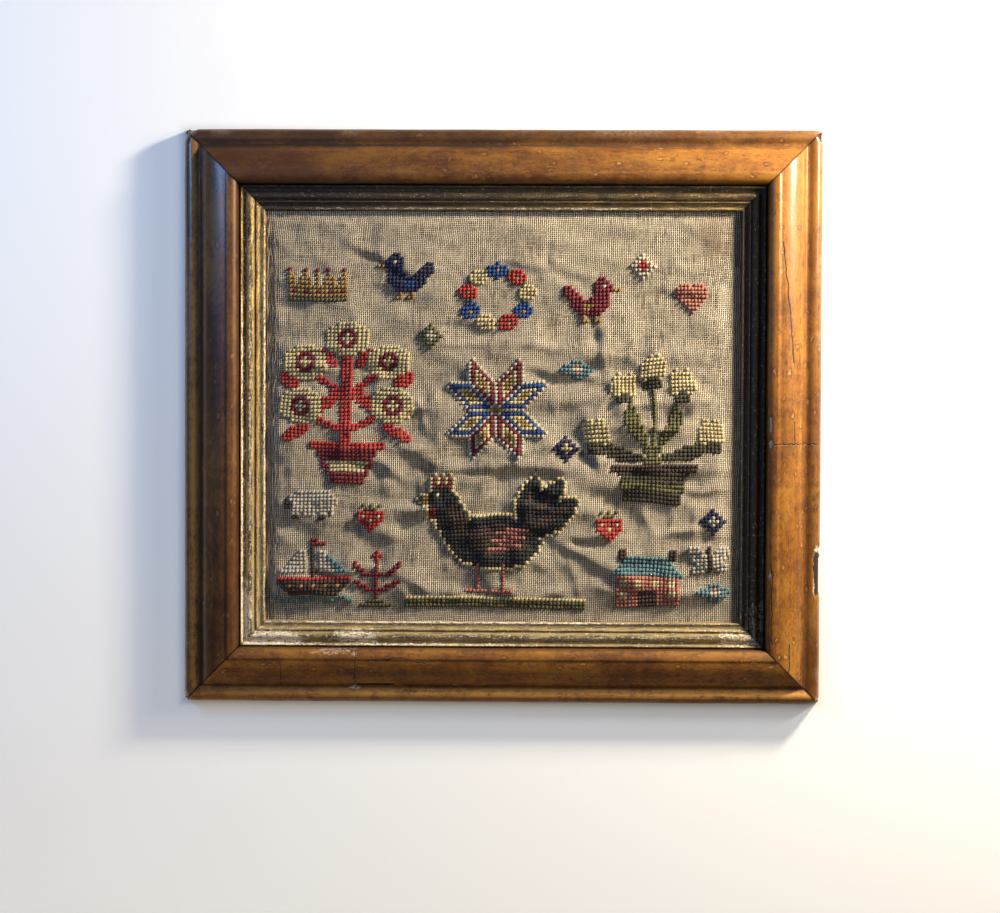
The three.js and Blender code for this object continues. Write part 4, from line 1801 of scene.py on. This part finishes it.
@dataclass
class Studio:
    """The floor, the lights and the camera, which looks down on the sampler's face.

    Attributes:
        aim: The point on the floor that the view's middle falls on, in metres.
        distance: How far the camera is from it.
        lean: How far the view leans to the right and to the top, in degrees.
        roll: Its roll, in degrees.
        lens: Its focal length in millimetres, on a sensor 36 mm wide.
    """

    aim: tuple[float, float] = (-0.00145, -0.02514)
    distance: float = 1.30
    lean: tuple[float, float] = (0.949, 1.583)
    roll: float = 0.233
    lens: float = 73.95

    def camera(self) -> None:
        """Set up the camera: it stands off its aim along (tan a, tan b, 1), with +Y up in its view."""
        lean_right, lean_up = (math.tan(math.radians(angle)) for angle in self.lean)
        away = Vector((lean_right, lean_up, 1)).normalized()
        right = Vector((0, 1, 0)).cross(away).normalized()
        up = away.cross(right)
        upright = Matrix((right, up, away)).transposed().to_4x4()
        turned = upright @ Matrix.Rotation(math.radians(self.roll), 4, "Z")
        data = bpy.data.cameras.new("camera")
        data.lens = self.lens
        data.sensor_width = 36
        camera = bpy.data.objects.new("camera", data)
        camera.matrix_world = Matrix.Translation(Vector((*self.aim, 0)) + away * self.distance) @ turned
        bpy.context.scene.collection.objects.link(camera)
        bpy.context.scene.camera = camera

    def lamp(
        self,
        name: str,
        turn: float,
        rise: float,
        distance: float,
        size: tuple[float, float],
        power: float,
        tint: Colour,
        shine: bool = True,
    ) -> None:
        """Hang a soft lamp that faces the sampler's middle.

        Args:
            name: Its name.
            turn: Degrees from +X towards +Y.
            rise: Degrees above the floor.
            distance: How far it hangs, in metres.
            size: Its width and height, in metres.
            power: Its watts.
            tint: Its colour.
            shine: Whether it shows in the polish.
        """
        level = math.cos(math.radians(rise))
        way = Vector(
            (
                math.cos(math.radians(turn)) * level,
                math.sin(math.radians(turn)) * level,
                math.sin(math.radians(rise)),
            )
        )
        data = bpy.data.lights.new(name, "AREA")
        data.energy = power
        data.shape = "RECTANGLE"
        data.size, data.size_y = size
        data.color = tint[:3]
        lamp = bpy.data.objects.new(name, data)
        facing = way.to_track_quat("Z", "Y").to_matrix().to_4x4()
        lamp.matrix_world = Matrix.Translation(way * distance) @ facing
        lamp.visible_glossy = shine
        bpy.context.scene.collection.objects.link(lamp)

    def floor(self) -> None:
        """Lay a pale floor. It glows a little, as in a bright room, but not under the frame."""
        kit = Dressing("floor")
        pale = (0.88, 0.88, 0.87, 1)
        across, up = kit.split(kit.place())
        open_floor = (abs(across) / 0.198).highest(abs(up) / 0.178).step(1.0, 1.05)
        glow = kit.blend(open_floor, (0, 0, 0, 1), pale)
        material = kit.finish(Base_Color=pale, Roughness=0.9, Emission_Color=glow, Emission_Strength=0.3)
        reach = 3000.0
        x, y = np.meshgrid(np.linspace(-reach, reach, 3), np.linspace(-reach, reach, 3))
        points = np.stack([x, y, np.full_like(x, -0.05)], axis=-1).reshape(-1, 3) * MM
        mesh = bpy.data.meshes.new("floor")
        mesh.from_pydata(points.tolist(), [], grid_quads(3, 3).tolist())
        mesh.materials.append(material)
        floor = bpy.data.objects.new("floor", mesh)
        bpy.context.scene.collection.objects.link(floor)
        floor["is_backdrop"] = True

    def set_up(self) -> None:
        """Make the camera, the floor and the lights."""
        self.camera()
        self.floor()
        self.lamp("key", 37, 20, 0.78, (0.1, 0.1), 12.8, (1.0, 0.86, 0.66, 1))
        self.lamp("glint", 19, 28, 0.8, (0.05, 0.2), 2.4, (1.0, 0.92, 0.78, 1))
        self.lamp("overhead", 100, 80, 1.9, (1.3, 1.3), 1.2, (1.0, 0.96, 0.9, 1))
        self.lamp("cool_window", 155, 40, 0.75, (0.06, 0.34), 1.5, (0.2, 0.46, 1.0, 1))
        self.lamp("low_fill", 250, 16, 0.9, (0.7, 0.3), 1.5, (1.0, 0.82, 0.58, 1), shine=False)
        world = bpy.data.worlds.new("room")
        world.use_nodes = True
        world.node_tree.nodes["Background"].inputs[0].default_value = (0.88, 0.92, 1.0, 1)
        world.node_tree.nodes["Background"].inputs[1].default_value = 0.05
        bpy.context.scene.world = world
        bpy.context.scene.view_settings.view_transform = "Standard"


@dataclass
class Sampler:
    """The whole object: rails, slips, canvas with its wool, and the board behind."""

    cloth: Cloth = field(default_factory=Cloth)
    rails: MapleRails = field(
        default_factory=lambda: MapleRails(
            half=(200.0, 180.0),
            scars={
                Side.RIGHT: (
                    Scar(-97, 1.6, (15, 3.6), 1.1, "lost"),
                    Scar(-82, 2.2, (2.4, 2.2), 0.6, "chalk"),
                    Scar(-104, 4.4, (7, 1.0), 0.3, "chalk", 0.6),
                    Scar(-4, 33.2, (6, 0.7), 0.5, "chalk"),
                    Scar(-16, 32.8, (3, 1.3), 0.5, "chalk"),
                    Scar(-98.5, 32.8, (2.6, 1.3), 0.5, "chalk"),
                    Scar(177, 1.0, (4, 3), 1.4, "lost"),
                ),
                Side.BOTTOM: (
                    Scar(-105, 33.6, (14, 2.6), 0.5, "chalk", 0.5),
                    Scar(-91, 32.5, (3, 3.4), 0.4, "chalk", 0.45),
                    Scar(-79, 11.6, (16, 0.8), 0.3, "lost", 0.7),
                    Scar(-92, 9.6, (6, 1.4), 0.4, "chalk", 0.7),
                ),
                Side.LEFT: (Scar(-176, 1.5, (4.5, 3), 0.8, "worn"),),
                Side.TOP: (Scar(196, 1.5, (4.5, 3), 0.8, "worn"),),
            },
            cracks={
                Side.RIGHT: (
                    Crack((108.5, 26), (34.5, 18.7), 0.55),
                    Crack((-2.5, 18), (-15.7, 18), 0.5),
                    Crack((-16.3, 4), (-16.3, 34), 0.45),
                    Crack((-91, 32), (-141, 31.4), 0.45),
                    Crack((-141, 20), (-162, 20.6), 0.5),
                ),
                Side.BOTTOM: (
                    Crack((-138, 10), (-138, 25), 0.4),
                    Crack((-92, 8), (-91, 34), 0.5),
                    Crack((-84, 27), (-62, 29), 0.35),
                    Crack((-62, 29), (-44, 25), 0.35),
                ),
            },
            # painted shade and light: the rails darken towards the top left and the right rail lightens at
            # its top
            varnish={
                Side.BOTTOM: VarnishAndShade(0.5, 0.4, -0.85, 0.1),
                Side.RIGHT: VarnishAndShade(0.45, -0.3, 0.25, 0.6),
                Side.TOP: VarnishAndShade(0.0, 1.6, 0.4, 0.3),
                Side.LEFT: VarnishAndShade(0.9, 0.75, -0.6, 0.55),
            },
        )
    )
    slips: GiltSlips = field(
        default_factory=lambda: GiltSlips(
            half=(165.0, 145.0),
            scars={
                Side.LEFT: (
                    Scar(-112, 7, (38, 9), 0.3, "broken"),
                    Scar(124, 2, (26, 6), 1.2, "broken"),
                    Scar(60, 1.4, (90, 1.7), 1.1, "broken"),
                    Scar(-40, 1.5, (60, 1.6), 0.9, "broken"),
                    Scar(0, 6.8, (120, 1.0), 0.7, "broken"),
                    Scar(0, 15.2, (150, 1.4), 0.95, "broken"),
                ),
                Side.BOTTOM: (
                    Scar(-146, 4, (24, 8), 1.1, "broken"),
                    Scar(-40, 15.2, (130, 1.4), 0.9, "broken"),
                    Scar(-60, 1.4, (90, 1.2), 0.9, "broken"),
                    Scar(-92, 7, (16, 5), 0.9, "broken"),
                    Scar(148, 6, (14, 7), 0.7, "broken"),
                    Scar(60, 6, (120, 2.0), 0.3, "broken"),
                ),
                Side.TOP: (
                    Scar(80, 15.2, (60, 1.2), 0.7, "broken"),
                    Scar(-40, 15.2, (90, 1.4), 0.6, "broken"),
                ),
                Side.RIGHT: (Scar(-128, 6, (18, 8), 0.6, "broken"), Scar(0, 2, (120, 1.5), 0.2, "broken")),
            },
            cracks={Side.BOTTOM: (Crack((-87.3, 11.2), (-86.7, 11.2), 0.9),)},
            # painted shade: the first pair makes the right slip near black and the top slip darker to its
            # left
            ageing_and_shade={
                Side.BOTTOM: ((0.0, 0.1), (0.7, 0.85)),
                Side.RIGHT: ((0.97, 0.95), (0.1, 0.1)),
                Side.TOP: ((0.4, 1.1), (0.1, 0.5)),
                Side.LEFT: ((0.0, 0.0), (-0.2, 0.9)),
            },
        )
    )

    def build_rails(self) -> None:
        """Build the four rails."""
        for side in Side:
            name = side.name.lower()
            self.rails.build(side, f"maple_{name}").make(self.rails.dress(side), "maple", f"rail_{name}")

    def build_slips(self) -> None:
        """Build the four slips."""
        for side in Side:
            name = side.name.lower()
            material = Gilding().dress(f"gilding_{name}", *self.slips.ageing_and_shade[side], self.slips.lines(side))
            self.slips.build(side, f"gilt_{name}").make(material, "gilt", f"slip_{name}")

    def build_cloth(self) -> None:
        stitching = Stitching(self.cloth)
        columns, rows = (int(2 * reach / stitching.size) for reach in self.cloth.window)
        chart = Chart(columns, rows)
        Motifs(chart).work()
        self.cloth.take_work(chart.cells > 0)
        LOG.info("stitches: %d", int((chart.cells > 0).sum()))
        for wool in WoolShade:
            piece = stitching.build(wool, chart)
            if piece:
                piece.make(Worsted(wool.dye).dress(f"wool_{wool.name.lower()}"), "canvas")
        ends = Worsted((0.42, 0.33, 0.22, 1)).dress("loose_ends")
        LooseThreads(self.cloth).build().make(ends, "canvas")
        sheet = self.cloth.build().make(Linen().dress("linen"), "canvas", "canvas")
        flat = tuple(2 * reach * MM for reach in self.cloth.half)

    def dress_board(self) -> None:
        """Give the back board, which stays as it is, its own wood."""
        board = bpy.data.objects["back_board"]
        board.data.materials.clear()
        board.data.materials.append(Pine().dress("pine"))

    def build(self) -> None:
        """Build and dress it all."""
        self.build_rails()
        self.build_slips()
        self.build_cloth()
        self.dress_board()


def main() -> None:
    """Build the scene."""
    logging.basicConfig(level=logging.INFO, format="%(message)s")
    Studio().set_up()
    Sampler().build()
    sizes = {"cad": CAD_BOUNDS, "visual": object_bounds()}
    json.dumps({k: [list(map(float, end)) for end in v] for k, v in sizes.items()})


if __name__ == "__main__":
    main()
